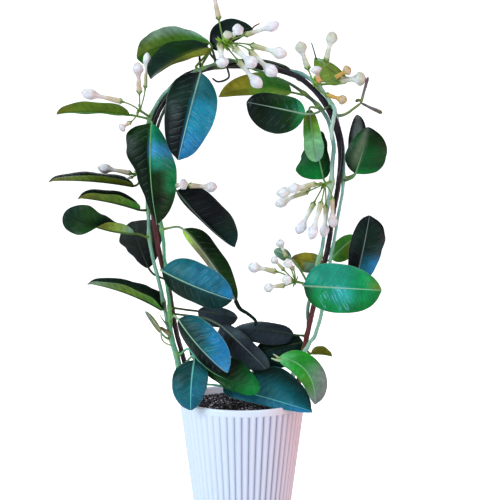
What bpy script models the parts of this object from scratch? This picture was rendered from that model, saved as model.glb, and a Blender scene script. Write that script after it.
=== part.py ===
"""A Madagascar jasmine trained round a hoop, growing in a white reeded pot.

Metres, +Z up. The origin is the middle of the pot's foot, on the surface it stands on. The viewer of the
front is on the -Y side, with +X to the right. The tables hold places and sizes in millimetres.
"""

import math
import random

import bpy
import bmesh
from mathutils import Quaternion, Vector

MM = 0.001
GAP = 0.3

POT_HEIGHT = 125.0
POT_RIM_RADIUS = 65.0
POT_FOOT_RADIUS = 48.5
POT_WALL = 4.0
POT_FLOOR = 6.0
RIM_BAND = 6.0
REED_COUNT = 54
REED_DEPTH = 1.1
REED_POINTS = 3
REED_FADE = 2.5

SOIL_LEVEL = 117.0
SOIL_MOUND = 4.0
SOIL_ROUGHNESS = 1.1
SOIL_SIDES = 30
SOIL_RINGS = (0.3, 0.6, 0.86)
SOIL_SEED = 7

HOOP_RADIUS = 2.4
HOOP_STEP = 20.0
HOOP_GUIDE_STEP = 4.0
VINE_RADIUS = 1.7
VINE_STEP = 12.0
VINE_GUIDE_STEP = 3.0
HOLE_POINTS = 10
PETIOLE_RADIUS = 1.15
PETIOLE_START = 2.2
PETIOLE_KNEE = 0.28
STEM_CLEARANCE = 0.4
ROUND_SIDES = 8
BLADE_THICKNESS = 0.9
BLADE_INNER = 0.62
STALK_RADIUS = 1.2
STALK_START = 2.0
STALK_END = 1.2
STALKLET_RADIUS = 0.8
STALKLET_KNEE = 0.4
THIN_SIDES = 6
BUD_SIDES = 5
SHARP_ANGLE = 50

# The hoop lies in the plane y = 0: its line from the left foot over the top to the right foot, as (x, z).
HOOP_LINE = [
    (-44, 66), (-48, 112), (-59, 160), (-68, 195), (-77, 237), (-86, 277), (-91, 320), (-94, 364),
    (-90, 402), (-78, 428), (-60, 450), (-36, 461), (-8, 464), (20, 463), (45, 457), (66, 445),
    (84, 424), (96, 400), (102, 374), (98, 343), (92, 312), (84, 278), (75, 232), (66, 186),
    (58, 140), (54, 112), (50, 66),
]

# Each stem's way round the hoop: (mm along the hoop from its foot, degrees round it, mm off its middle).
# 0 degrees is on the outside of the hoop, 90 towards the viewer, 180 on the inside and 270 behind.
VINES = {
    "vine_left_outer": ("left", [
        (20, 40, 7), (60, 30, 8), (95, 10, 7.5), (130, 0, 9), (170, 0, 9), (220, -15, 8.5), (260, -40, 6.5),
        (310, -60, 5.5), (350, -30, 6), (385, 5, 6.5), (425, -10, 6), (470, -50, 5.5), (525, -110, 5.5),
    ]),
    "vine_left_inner": ("left", [
        (20, 160, 7), (60, 130, 7), (100, 105, 6), (140, 120, 6), (190, 165, 6.5), (235, 180, 7),
        (290, 200, 6.5), (340, 190, 6), (380, 170, 6), (430, 140, 5.5), (475, 90, 5.5),
    ]),
    "vine_right_outer": ("right", [
        (20, 150, 7), (75, 160, 7), (100, 120, 6.5), (120, 60, 7), (140, 15, 8.5), (170, 0, 8.5),
        (215, 20, 6.5), (255, 10, 6.5), (300, 0, 6.5), (340, 15, 6), (385, 25, 6), (420, 40, 5.5),
        (450, 20, 5.5),
    ]),
    "vine_right_inner": ("right", [
        (20, 270, 7), (80, 250, 7), (130, 240, 7), (180, 215, 7), (230, 200, 6), (275, 190, 7),
        (320, 180, 10), (355, 175, 7), (400, 180, 10), (440, 180, 9), (470, 170, 6),
    ]),
}

# The bare side twig: its points from the right outer stem, and the short end that forks from it.
TWIG_LINE = [(108, -2, 414), (121, -8, 424), (127, -10, 450)]
TWIG_FORK = [(121, -8, 424), (140, -12, 413)]
TWIG_RADIUS = 1.1
TWIG_STEP = 8.0

# Each leaf: the stem it grows from, a place near its foot there, the blade's foot and tip, its width, then
# how far its face is lifted from the viewer to the sky, how far its middle bows out, how its halves fold
# (above 0 like a gutter, below 0 like a roof), how it twists to its tip and how it bends in its own plane.
LEAVES = {
    "leaf_01": ("vine_left_outer", (-42, 0, 468), (-35, 10, 486), (-110, 14, 470), 52, 145, 14, -14, 0, 0),
    "leaf_02": ("vine_left_outer", (-48, 0, 466), (-37, -8, 481), (-94, -26, 450), 42, 48, 9, -14, 0, 0),
    "leaf_03": ("vine_left_outer", (-24, 6, 463), (-31, 16, 480), (10, 28, 499), 40, 22, 10, -12, 0, 0),
    "leaf_04": ("vine_left_inner", (-50, 0, 456), (-43, -20, 456), (-67, -32, 368), 54, 0, 10, -20, 0, 0),
    "leaf_05": ("vine_left_outer", (-94, 0, 402), (-91, -16, 404), (-88, -17, 304), 52, 12, 8, -22, 0, 2),
    "leaf_06": ("vine_left_outer", (-94, 0, 408), (-112, 2, 416), (-187, -8, 415), 42, 108, 7, 16, 0, 0),
    "leaf_07": ("vine_left_outer", (-97, 0, 350), (-114, 2, 342), (-195, -14, 345), 50, 84, 3, 28, 0, 0),
    "leaf_08": ("vine_left_outer", (-97, 0, 318), (-106, 0, 317), (-165, -14, 329), 42, 86, 7, 28, 0, 0),
    "leaf_09": ("vine_left_outer", (-98, 0, 291), (-108, -10, 292), (-180, -24, 310), 38, 100, 5, -8, -118, 0),
    "leaf_11": ("vine_left_inner", (-87, 0, 246), (-90, 15, 249), (-112, 24, 304), 46, 0, 5, -12, 0, 0),
    "leaf_12": ("vine_left_outer", (-83, 0, 222), (-89, -6, 220), (-155, -16, 243), 42, 86, 7, 28, 0, 0),
    "leaf_13": ("vine_left_outer", (-74, -6, 186), (-84, -10, 190), (-99, -16, 215), 12, 30, 3, -10, 0, 0),
    "leaf_14": ("vine_left_inner", (-86, 0, 340), (-62, 10, 340), (-4, 30, 279), 46, -25, 6, -24, 0, 4),
    "leaf_15": ("vine_left_inner", (-80, 0, 298), (-54, 6, 298), (1, -4, 217), 54, 60, 6, 32, 0, -3),
    "leaf_16": ("vine_left_inner", (-78, 0, 255), (-79, -22, 257), (-7, -42, 230), 50, -10, 8, -24, 0, 4),
    "leaf_17": ("vine_left_inner", (-66, 0, 206), (-63, -42, 210), (-13, -60, 160), 46, -20, 8, -22, 0, 4),
    "leaf_18": ("vine_left_outer", (-56, -4, 156), (-56, -47, 171), (-52, -61, 121), 36, 0, 8, -14, 0, 0),
    "leaf_19": ("vine_left_inner", (-57, 0, 172), (-54, -16, 174), (18, -57, 147), 40, 54, 3, -12, 0, 0),
    "leaf_20": ("vine_left_inner", (-62, 0, 212), (-30, 2, 200), (22, -8, 152), 34, 15, 5, -14, 0, 0),
    "leaf_21": ("vine_right_inner", (64, 6, 186), (50, 12, 190), (-10, 18, 194), 36, 48, 6, -16, 0, 0),
    "leaf_22": ("vine_right_inner", (60, 6, 172), (74, 8, 178), (92, 6, 167), 16, 140, 2, -10, 0, 0),
    "leaf_23": ("vine_right_outer", (58, 0, 160), (40, -34, 175), (79, -60, 129), 50, 14, 8, -14, 0, 4),
    "leaf_24": ("vine_left_inner", (-52, -4, 140), (-18, -23, 140), (68, -50, 123), 50, 67, 8, 8, 0, 0),
    "leaf_25": ("vine_right_outer", (82, 0, 250), (63, -24, 241), (138, -36, 239), 55, 6, 6, -12, 0, 0),
    "leaf_26": ("vine_right_inner", (86, 4, 262), (114, 8, 256), (136, 14, 315), 42, 0, 6, -12, 0, 0),
    "leaf_27": ("vine_right_inner", (86, 4, 270), (94, 20, 266), (113, 24, 294), 24, 20, 3, -10, 0, 0),
    "leaf_28": ("vine_right_inner", (80, 4, 266), (78, 12, 264), (49, 12, 267), 24, 0, 3, -10, 0, 0),
    "leaf_29": ("vine_right_inner", (86, 2, 288), (50, 4, 268), (32, 2, 277), 16, 30, 2, -8, 0, 0),
    "leaf_30": ("vine_right_outer", (104, 0, 347), (116, -12, 355), (132, -14, 405), 42, 0, 6, -14, 0, 0),
    "leaf_31": ("vine_right_inner", (74, 0, 418), (69, -10, 416), (76, -16, 367), 26, 180, 4, -10, 0, 0),
    "leaf_32": ("vine_right_inner", (92, 0, 344), (80, 8, 346), (64, 14, 392), 38, 0, 5, -14, 0, 0),
    "leaf_33": ("vine_right_outer", (86, 0, 420), (64, -18, 415), (6, -22, 420), 46, 0, 6, -14, 0, 0),
    "leaf_34": ("vine_right_inner", (62, 0, 434), (52, 10, 439), (-26, 18, 438), 36, 20, 6, -14, 0, 0),
    "leaf_35": ("vine_right_outer", (76, 2, 440), (107, 12, 446), (70, 14, 470), 32, 180, 4, -14, 0, 0),
    "leaf_36": ("vine_left_inner", (-67, 0, 218), (-46, 16, 216), (-4, 16, 206), 26, 20, 4, -12, 0, 0),
    "leaf_37": ("vine_right_outer", (104, 0, 352), (114, 6, 360), (118, 12, 418), 26, 0, 4, -12, 0, 0),
    "leaf_38": ("vine_right_inner", (62, 6, 176), (55, 13, 179), (8, 13, 169), 32, 20, 4, -12, 0, 0),
}

# Each umbel: its stem, a place near its foot there, the point where its stalklets meet, and its buds, each
# as (the calyx, the tip, how thick against a full-grown bud).
UMBELS = {
    "umbel_left": ("vine_left_outer", (-92, -6, 412), (-102, -14, 418), [
        ((-118, -30, 426), (-153, -38, 438), 1.0), ((-102, -16, 436), (-103, -22, 466), 1.0),
        ((-96, -6, 439), (-91, -4, 477), 0.95), ((-111, -18, 406), (-121, -24, 399), 0.8),
    ]),
    "umbel_left_low": ("vine_left_outer", (-98, 0, 360), (-106, 4, 356), [
        ((-112, 4, 357), (-144, 4, 365), 0.85), ((-113, 8, 362), (-129, 14, 376), 0.7),
    ]),
    "umbel_inner_left": ("vine_left_inner", (-88, 0, 345), (-72, -4, 341), [
        ((-68, -8, 343), (-56, -22, 345), 1.0), ((-52, -2, 343), (-23, -6, 342), 1.0),
    ]),
    "umbel_inner_right": ("vine_right_inner", (74, 0, 240), (54, -12, 246), [
        ((34, -20, 257), (6, -26, 263), 1.0), ((42, -22, 243), (22, -30, 241), 0.9),
        ((45, -4, 270), (37, -4, 288), 0.85), ((42, -12, 258), (30, -14, 271), 0.75),
        ((51, -20, 260), (44, -36, 268), 0.9), ((48, -26, 249), (43, -42, 251), 0.9),
    ]),
    "umbel_right": ("vine_right_inner", (94, 0, 346), (83, -14, 345), [
        ((68, -18, 342), (34, -22, 335), 1.0), ((73, -26, 345), (45, -36, 340), 1.0),
        ((66, -10, 337), (33, -8, 323), 1.0), ((72, -18, 326), (55, -24, 295), 1.0),
        ((79, -24, 327), (68, -32, 290), 1.0), ((90, -18, 331), (91, -20, 301), 0.9),
        ((84, -14, 323), (82, -14, 291), 0.9),
    ]),
    "umbel_top_right": ("vine_right_outer", (72, -4, 440), (72, -8, 446), [
        ((66, -10, 459), (58, -14, 485), 1.0), ((84, -2, 467), (93, 0, 496), 1.0),
        ((96, -6, 448), (123, -8, 450), 1.0), ((76, -16, 450), (76, -22, 461), 0.9),
        ((88, -8, 435), (106, -10, 428), 0.7), ((92, -12, 451), (108, -16, 458), 0.75),
    ]),
    "umbel_top": ("vine_left_inner", (-22, -6, 463), (-18, -14, 484), [
        ((-23, -12, 508), (-30, -12, 544), 1.0), ((-10, -22, 490), (-2, -38, 497), 1.0),
        ((-18, -22, 493), (-14, -34, 502), 0.85), ((3, -16, 492), (37, -20, 503), 1.0),
        ((9, -18, 482), (45, -22, 472), 1.0), ((10, -22, 474), (35, -28, 453), 1.0),
        ((-6, -26, 477), (14, -36, 461), 1.0), ((-4, -18, 467), (18, -24, 442), 1.0),
        ((-21, -24, 480), (-18, -32, 460), 0.95),
    ]),
}

# A bud from its calyx to its tip: (share of the length, half thickness in mm).
BUD_PROFILE = [
    (0.0, 2.0), (0.06, 2.8), (0.32, 2.6), (0.56, 2.0), (0.76, 5.4), (0.89, 4.6), (0.97, 1.8),
]
# A leaf blade from foot to tip: (share of the length, share of the half width).
BLADE_PROFILE = [
    (0.0, 0.09), (0.025, 0.42), (0.12, 0.78), (0.3, 0.98), (0.52, 0.99), (0.73, 0.84), (0.88, 0.57),
    (0.965, 0.27), (1.0, 0.03),
]

WHITE_GLAZE = ((0.86, 0.87, 0.93), 0.35)
DARK_SOIL = ((0.03, 0.02, 0.018), 0.95)
HOOP_CANE = ((0.09, 0.025, 0.025), 0.4)
STEM_GREEN = ((0.36, 0.5, 0.36), 0.5)
LEAF_GREEN = ((0.015, 0.09, 0.04), 0.3)
BUD_WHITE = ((0.88, 0.87, 0.84), 0.4)


def clear_scene():
    for thing in list(bpy.data.objects):
        bpy.data.objects.remove(thing)


def new_collection(name):
    collection = bpy.data.collections.new(name)
    bpy.context.scene.collection.children.link(collection)
    return collection


def new_material(name, finish):
    colour, roughness = finish
    material = bpy.data.materials.new(name)
    material.use_nodes = True
    shader = material.node_tree.nodes["Principled BSDF"]
    shader.inputs["Base Color"].default_value = (*colour, 1.0)
    shader.inputs["Roughness"].default_value = roughness
    shader.inputs["Metallic"].default_value = 0.0
    return material


def add_mesh(name, mesh, collection, material):
    mesh.materials.clear()
    mesh.materials.append(material)
    mesh.shade_smooth()
    mesh.set_sharp_from_angle(angle=math.radians(SHARP_ANGLE))
    piece = bpy.data.objects.new(name, mesh)
    collection.objects.link(piece)
    return piece


def smooth_line(points, step):
    """Points every step along a smooth curve through the given ones."""
    ends = [points[0] * 2 - points[1], *points, points[-1] * 2 - points[-2]]
    line = []
    for before, start, end, after in zip(ends, ends[1:], ends[2:], ends[3:]):
        count = max(1, round((end - start).length / step))
        for index in range(count):
            t = index / count
            line.append(0.5 * (2 * start + (end - before) * t
                               + (2 * before - 5 * start + 4 * end - after) * t ** 2
                               + (3 * start - before - 3 * end + after) * t ** 3))
    return line + [points[-1]]


def rod(name, points, radius, sides):
    """A round bar along the points, as a closed mesh in metres."""
    curve = bpy.data.curves.new(name, "CURVE")
    curve.dimensions = "3D"
    curve.bevel_depth = radius * MM
    curve.bevel_resolution = sides // 2 - 2
    curve.use_fill_caps = True
    spline = curve.splines.new("POLY")
    spline.points.add(len(points) - 1)
    for point, place in zip(spline.points, points):
        point.co = (*(place * MM), 1.0)
    guide = bpy.data.objects.new(name, curve)
    bpy.context.scene.collection.objects.link(guide)
    graph = bpy.context.evaluated_depsgraph_get()
    mesh = bpy.data.meshes.new_from_object(guide.evaluated_get(graph))
    bpy.data.objects.remove(guide)
    shape = bmesh.new()
    shape.from_mesh(mesh)
    bmesh.ops.remove_doubles(shape, verts=shape.verts, dist=0.00001)
    bmesh.ops.recalc_face_normals(shape, faces=shape.faces)
    shape.to_mesh(mesh)
    shape.free()
    return mesh


def loft(name, rings):
    """A closed mesh through rings of points, split alike on its two halves. A ring of one point is a tip."""
    shape = bmesh.new()
    rows = [[shape.verts.new(point * MM) for point in ring] for ring in rings]
    for row, following in zip(rows, rows[1:]):
        count = max(len(row), len(following))
        for k in range(count):
            near, next_near = row[k % len(row)], row[(k + 1) % len(row)]
            far, next_far = following[k % len(following)], following[(k + 1) % len(following)]
            if len(following) == 1:
                shape.faces.new((near, next_near, far))
            elif len(row) == 1:
                shape.faces.new((near, next_far, far))
            elif k < count // 2:
                shape.faces.new((near, next_near, next_far))
                shape.faces.new((near, next_far, far))
            else:
                shape.faces.new((near, next_near, far))
                shape.faces.new((next_near, next_far, far))
    for row in (rows[0], rows[-1]):
        if len(row) > 1:
            shape.faces.new(row)
    bmesh.ops.recalc_face_normals(shape, faces=shape.faces)
    mesh = bpy.data.meshes.new(name)
    shape.to_mesh(mesh)
    shape.free()
    return mesh


def union(name, meshes, collection, material):
    """One solid from overlapping closed meshes."""
    base = add_mesh(name, meshes[0], collection, material)
    others = new_collection(name + "_parts")
    for index, mesh in enumerate(meshes[1:]):
        add_mesh(f"{name}_part_{index}", mesh, others, material)
    join = base.modifiers.new("Join", "BOOLEAN")
    join.operation = "UNION"
    join.operand_type = "COLLECTION"
    join.collection = others
    join.solver = "MANIFOLD"
    graph = bpy.context.evaluated_depsgraph_get()
    joined = bpy.data.meshes.new_from_object(base.evaluated_get(graph))
    bpy.data.objects.remove(base)
    for piece in list(others.objects):
        bpy.data.objects.remove(piece)
    bpy.data.collections.remove(others)
    return add_mesh(name, joined, collection, material)


def reeded_ring(radius, depth, z):
    """A ring of the pot's outside: each reed is a low rounded ridge between two grooves."""
    count = REED_COUNT * REED_POINTS
    ring = []
    for k in range(count):
        angle = 2 * math.pi * k / count
        r = radius - (depth if k % REED_POINTS == 0 else 0.0)
        ring.append(Vector((r * math.cos(angle), r * math.sin(angle), z)))
    return ring


def pot_radius(z):
    return POT_FOOT_RADIUS + (POT_RIM_RADIUS - POT_FOOT_RADIUS) * z / POT_HEIGHT


def build_pot(collection):
    reed_top = POT_HEIGHT - RIM_BAND
    inner_foot = pot_radius(POT_FLOOR) - POT_WALL
    inner_rim = POT_RIM_RADIUS - POT_WALL
    rings = [
        reeded_ring(pot_radius(0.0) - REED_DEPTH, REED_DEPTH, 0.0),
        reeded_ring(pot_radius(reed_top - REED_FADE), REED_DEPTH, reed_top - REED_FADE),
        reeded_ring(pot_radius(reed_top), 0.0, reed_top),
        reeded_ring(POT_RIM_RADIUS, 0.0, POT_HEIGHT),
        reeded_ring(inner_rim, 0.0, POT_HEIGHT),
        reeded_ring(inner_foot, 0.0, POT_FLOOR),
    ]
    add_mesh("pot", loft("pot", rings), collection, new_material("pot_glaze", WHITE_GLAZE))


def soil_height(share, draw):
    mound = SOIL_MOUND * (1 - share ** 2)
    rough = SOIL_ROUGHNESS * draw.uniform(-1, 1) if share < 1 else 0.0
    return SOIL_LEVEL + mound + rough


def soil_ring(share, draw):
    radius = (pot_radius(SOIL_LEVEL) - POT_WALL - 2 * GAP) * share
    ring = []
    for k in range(SOIL_SIDES):
        angle = 2 * math.pi * k / SOIL_SIDES
        ring.append(Vector((radius * math.cos(angle), radius * math.sin(angle), soil_height(share, draw))))
    return ring


def build_soil(collection, cutters, stems):
    """The soil, a plug inside the pot, with a plain hole for the hoop's feet and each stem's foot."""
    draw = random.Random(SOIL_SEED)
    foot = POT_FLOOR + GAP
    foot_radius = pot_radius(foot) - POT_WALL - 2 * GAP
    low = [Vector((foot_radius * math.cos(2 * math.pi * k / SOIL_SIDES),
                   foot_radius * math.sin(2 * math.pi * k / SOIL_SIDES), foot)) for k in range(SOIL_SIDES)]
    rings = [low, soil_ring(1.0, draw)]
    rings += [soil_ring(share, draw) for share in reversed(SOIL_RINGS)]
    rings.append([Vector((0, 0, SOIL_LEVEL + SOIL_MOUND))])
    soil = add_mesh("soil", loft("soil", rings), collection, new_material("soil_mix", DARK_SOIL))
    for index, (line, radius) in enumerate(stems):
        cutter = bpy.data.objects.new(f"stem_hole_{index}", rod("hole", line, radius + GAP, ROUND_SIDES))
        cutter.hide_render = True
        cutter.display_type = "WIRE"
        cutters.objects.link(cutter)
        hole = soil.modifiers.new(f"Hole {index}", "BOOLEAN")
        hole.operation = "DIFFERENCE"
        hole.object = cutter


def hoop_points():
    return smooth_line([Vector((x, 0, z)) for x, z in HOOP_LINE], HOOP_GUIDE_STEP)


def along_line(line, distance):
    """The point and the direction at a distance along a line."""
    for start, end in zip(line, line[1:]):
        length = (end - start).length
        if distance <= length:
            return start.lerp(end, distance / length), (end - start).normalized()
        distance -= length
    return line[-1].copy(), (line[-1] - line[-2]).normalized()


def ease(stations, distance, column):
    """The value of a column at a distance, passing smoothly through the stations."""
    for index, (start, end) in enumerate(zip(stations, stations[1:])):
        if distance <= end[0] or index == len(stations) - 2:
            share = (distance - start[0]) / (end[0] - start[0])
            smooth = share * share * (3 - 2 * share)
            return start[column] + (end[column] - start[column]) * smooth


def vine_points(side, stations):
    hoop = hoop_points()
    if side == "right":
        hoop.reverse()
    towards_viewer = Vector((0, -1, 0))
    line = []
    distance = stations[0][0]
    while distance <= stations[-1][0]:
        middle, direction = along_line(hoop, distance)
        outward = Vector((-direction.z, 0, direction.x))
        if side == "right":
            outward.negate()
        turn = math.radians(ease(stations, distance, 1))
        off = ease(stations, distance, 2)
        line.append(middle + off * (math.cos(turn) * outward + math.sin(turn) * towards_viewer))
        distance += VINE_GUIDE_STEP
    return line


def thin_out(line, step):
    keep = max(1, round(step / VINE_GUIDE_STEP))
    return line[::keep] + ([line[-1]] if (len(line) - 1) % keep else [])


def build_hoop(collection):
    line = smooth_line([Vector((x, 0, z)) for x, z in HOOP_LINE], HOOP_STEP)
    add_mesh("hoop", rod("hoop", line, HOOP_RADIUS, ROUND_SIDES), collection,
             new_material("hoop_cane", HOOP_CANE))
    return line


def build_vines(collection):
    """The stems, with the bare twig fused to its own. Returns each stem's middle line by name."""
    lines = {}
    for name, (side, stations) in VINES.items():
        line = vine_points(side, stations)
        lines[name] = line
        material = new_material(name + "_skin", STEM_GREEN)
        stem = rod(name, thin_out(line, VINE_STEP), VINE_RADIUS, THIN_SIDES)
        if name != "vine_right_outer":
            add_mesh(name, stem, collection, material)
            continue
        root = nearest(line, Vector(TWIG_LINE[0]))
        twig = smooth_line([root] + [Vector(place) for place in TWIG_LINE], TWIG_STEP)
        fork = [Vector(place) for place in TWIG_FORK]
        side_twigs = [rod("twig", twig, TWIG_RADIUS, THIN_SIDES), rod("fork", fork, TWIG_RADIUS, THIN_SIDES)]
        union(name, [stem, *side_twigs], collection, material)
    return lines


def nearest(line, place):
    return min(line, key=lambda point: (point - place).length).copy()


def stem_foot(line, near, towards):
    """Where a side piece starts: just clear of its stem, on the side it grows to, and its first direction."""
    index = min(range(len(line)), key=lambda k: (line[k] - near).length)
    before, after = line[max(index - 1, 0)], line[min(index + 1, len(line) - 1)]
    direction = (after - before).normalized()
    way = towards - line[index]
    way -= direction * way.dot(direction)
    way.normalize()
    return line[index] + way * (VINE_RADIUS + STEM_CLEARANCE), way


def bezier(a, b, c, t):
    return a * (1 - t) ** 2 + b * 2 * t * (1 - t) + c * t * t


def leaf_frame(foot, tip, lift):
    """The blade's own directions: along it, across it and out of its face."""
    along = (tip - foot).normalized()
    face = Vector((0, -1, 0))
    face = (face - along * face.dot(along)).normalized()
    turn = lift if along.x < 0 else -lift
    face.rotate(Quaternion(along, math.radians(turn)))
    return along, along.cross(face), face


def blade_line(foot, tip, across, face, arch, bend, shares):
    points = []
    for u in shares:
        bow = 4 * u * (1 - u)
        points.append(foot.lerp(tip, u) + face * arch * bow + across * bend * bow)
    return points


def carried_frames(points, start, across):
    """The side direction at each point, carried along the line from the start without twisting."""
    tangents = []
    for index in range(len(points)):
        before, after = points[max(index - 1, 0)], points[min(index + 1, len(points) - 1)]
        tangents.append((after - before).normalized())
    sides = [None] * len(points)
    sides[start] = (across - tangents[start] * across.dot(tangents[start])).normalized()
    for indices in (range(start + 1, len(points)), range(start - 1, -1, -1)):
        previous = start
        for index in indices:
            side = sides[previous].copy()
            side.rotate(tangents[previous].rotation_difference(tangents[index]))
            sides[index] = side
            previous = index
    return tangents, sides


def blade_ring(middle, side, face, half_width, fold):
    """Eight points round the blade: its two edges, and three on each face."""
    rise = math.sin(math.radians(fold))
    reach = math.cos(math.radians(fold))
    half_thick = BLADE_THICKNESS / 2

    def at(share, level):
        lift = rise * abs(share) * half_width + level
        return middle + side * (share * half_width * reach) + face * lift

    top = [at(share, half_thick) for share in (-BLADE_INNER, 0.0, BLADE_INNER)]
    under = [at(share, -half_thick) for share in (BLADE_INNER, 0.0, -BLADE_INNER)]
    return [at(-1.0, 0.0), *top, at(1.0, 0.0), *under]


def round_ring(middle, side, face, radius):
    ring = []
    for k in range(ROUND_SIDES):
        angle = math.pi - 2 * math.pi * k / ROUND_SIDES
        ring.append(middle + side * (radius * math.cos(angle)) + face * (radius * math.sin(angle)))
    return ring


def leaf_mesh(name, line, row):
    near, foot, tip, width, lift, arch, fold, twist, bend = row
    near, foot, tip = Vector(near), Vector(foot), Vector(tip)
    along, across, face = leaf_frame(foot, tip, lift)
    shares = [share for share, _ in BLADE_PROFILE]
    blade = blade_line(foot, tip, across, face, arch, bend, shares)
    reach = (foot - nearest(line, near)).length
    knee = foot - (blade[1] - blade[0]).normalized() * reach * PETIOLE_KNEE
    root, way = stem_foot(line, near, knee)
    first = root + way * PETIOLE_START
    petiole = [root, first, bezier(first, knee, foot, 0.5), foot]
    tangents, sides = carried_frames(blade, 0, across)
    stalk_tangents, stalk_sides = carried_frames(petiole, len(petiole) - 1, sides[0])
    rings = [round_ring(point, side, side.cross(tangent), PETIOLE_RADIUS)
             for point, tangent, side in zip(petiole[:-1], stalk_tangents, stalk_sides)]
    rings.append(round_ring(foot, sides[0], sides[0].cross(tangents[0]), PETIOLE_RADIUS))
    for point, tangent, side, (share, wide) in zip(blade[1:], tangents[1:], sides[1:], BLADE_PROFILE[1:]):
        side.rotate(Quaternion(tangent, math.radians(twist * share)))
        rings.append(blade_ring(point, side, side.cross(tangent), wide * width / 2, fold))
    return loft(name, rings)


def build_leaves(collection, lines):
    for name, (stem, *row) in LEAVES.items():
        material = new_material(name + "_skin", LEAF_GREEN)
        add_mesh(name, leaf_mesh(name, lines[stem], row), collection, material)


def bud_mesh(hub, calyx, tip, size):
    """One stalklet with its bud: a thin stalk that swells to the calyx, the tube and the pointed head."""
    way = (tip - calyx).normalized()
    knee = calyx - way * (calyx - hub).length * STALKLET_KNEE
    stalk = [bezier(hub, knee, calyx, t) for t in (0.0, 0.5)]
    length = (tip - calyx).length
    bud = [calyx + way * length * share for share, _ in BUD_PROFILE]
    points = stalk + bud
    radii = [STALKLET_RADIUS] * len(stalk) + [radius * size for _, radius in BUD_PROFILE]
    seed_side = way.orthogonal().normalized()
    tangents, sides = carried_frames(points, len(stalk), seed_side)
    rings = []
    for point, tangent, side, radius in zip(points, tangents, sides, radii):
        other = tangent.cross(side)
        rings.append([point + side * (radius * math.cos(2 * math.pi * k / BUD_SIDES))
                      + other * (radius * math.sin(2 * math.pi * k / BUD_SIDES)) for k in range(BUD_SIDES)])
    rings.append([tip])
    return loft("bud", rings)


def build_umbels(collection, lines):
    for name, (stem, near, hub, buds) in UMBELS.items():
        near, hub = Vector(near), Vector(hub)
        root, way = stem_foot(lines[stem], near, hub)
        first = root + way * STALK_START
        end = hub + (hub - first).normalized() * STALK_END
        line = [root, first, first.lerp(hub, 0.5), hub, end]
        meshes = [rod("stalk", line, STALK_RADIUS, THIN_SIDES)]
        for calyx, tip, size in buds:
            meshes.append(bud_mesh(hub, Vector(calyx), Vector(tip), size))
        union(name, meshes, collection, new_material(name + "_wax", BUD_WHITE))


def main():
    clear_scene()
    plant = new_collection("potted_madagascar_jasmine")
    cutters = new_collection("cutters")
    cutters.hide_render = True
    build_pot(plant)
    hoop = build_hoop(plant)
    lines = build_vines(plant)
    feet = [(hoop[:HOLE_POINTS], HOOP_RADIUS), (hoop[-HOLE_POINTS:], HOOP_RADIUS)]
    feet += [(thin_out(line, VINE_STEP)[:HOLE_POINTS], VINE_RADIUS) for line in lines.values()]
    build_soil(plant, cutters, feet)
    build_leaves(plant, lines)
    build_umbels(plant, lines)


main()
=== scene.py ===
import math
import random

import bpy
import bmesh
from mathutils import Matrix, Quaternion, Vector, noise


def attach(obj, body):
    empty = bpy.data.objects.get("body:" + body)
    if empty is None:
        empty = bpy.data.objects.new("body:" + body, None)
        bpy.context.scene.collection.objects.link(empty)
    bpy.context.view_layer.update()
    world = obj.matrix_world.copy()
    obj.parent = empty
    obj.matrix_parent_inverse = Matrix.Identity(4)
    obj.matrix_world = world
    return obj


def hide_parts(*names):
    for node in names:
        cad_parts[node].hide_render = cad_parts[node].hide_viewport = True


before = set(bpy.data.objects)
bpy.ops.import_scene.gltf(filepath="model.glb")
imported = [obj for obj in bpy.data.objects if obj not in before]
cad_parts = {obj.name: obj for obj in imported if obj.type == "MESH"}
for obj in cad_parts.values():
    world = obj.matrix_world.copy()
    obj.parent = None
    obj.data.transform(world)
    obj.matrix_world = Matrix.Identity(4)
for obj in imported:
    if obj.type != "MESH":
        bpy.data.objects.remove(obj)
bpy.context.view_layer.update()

mm = 0.001

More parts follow.
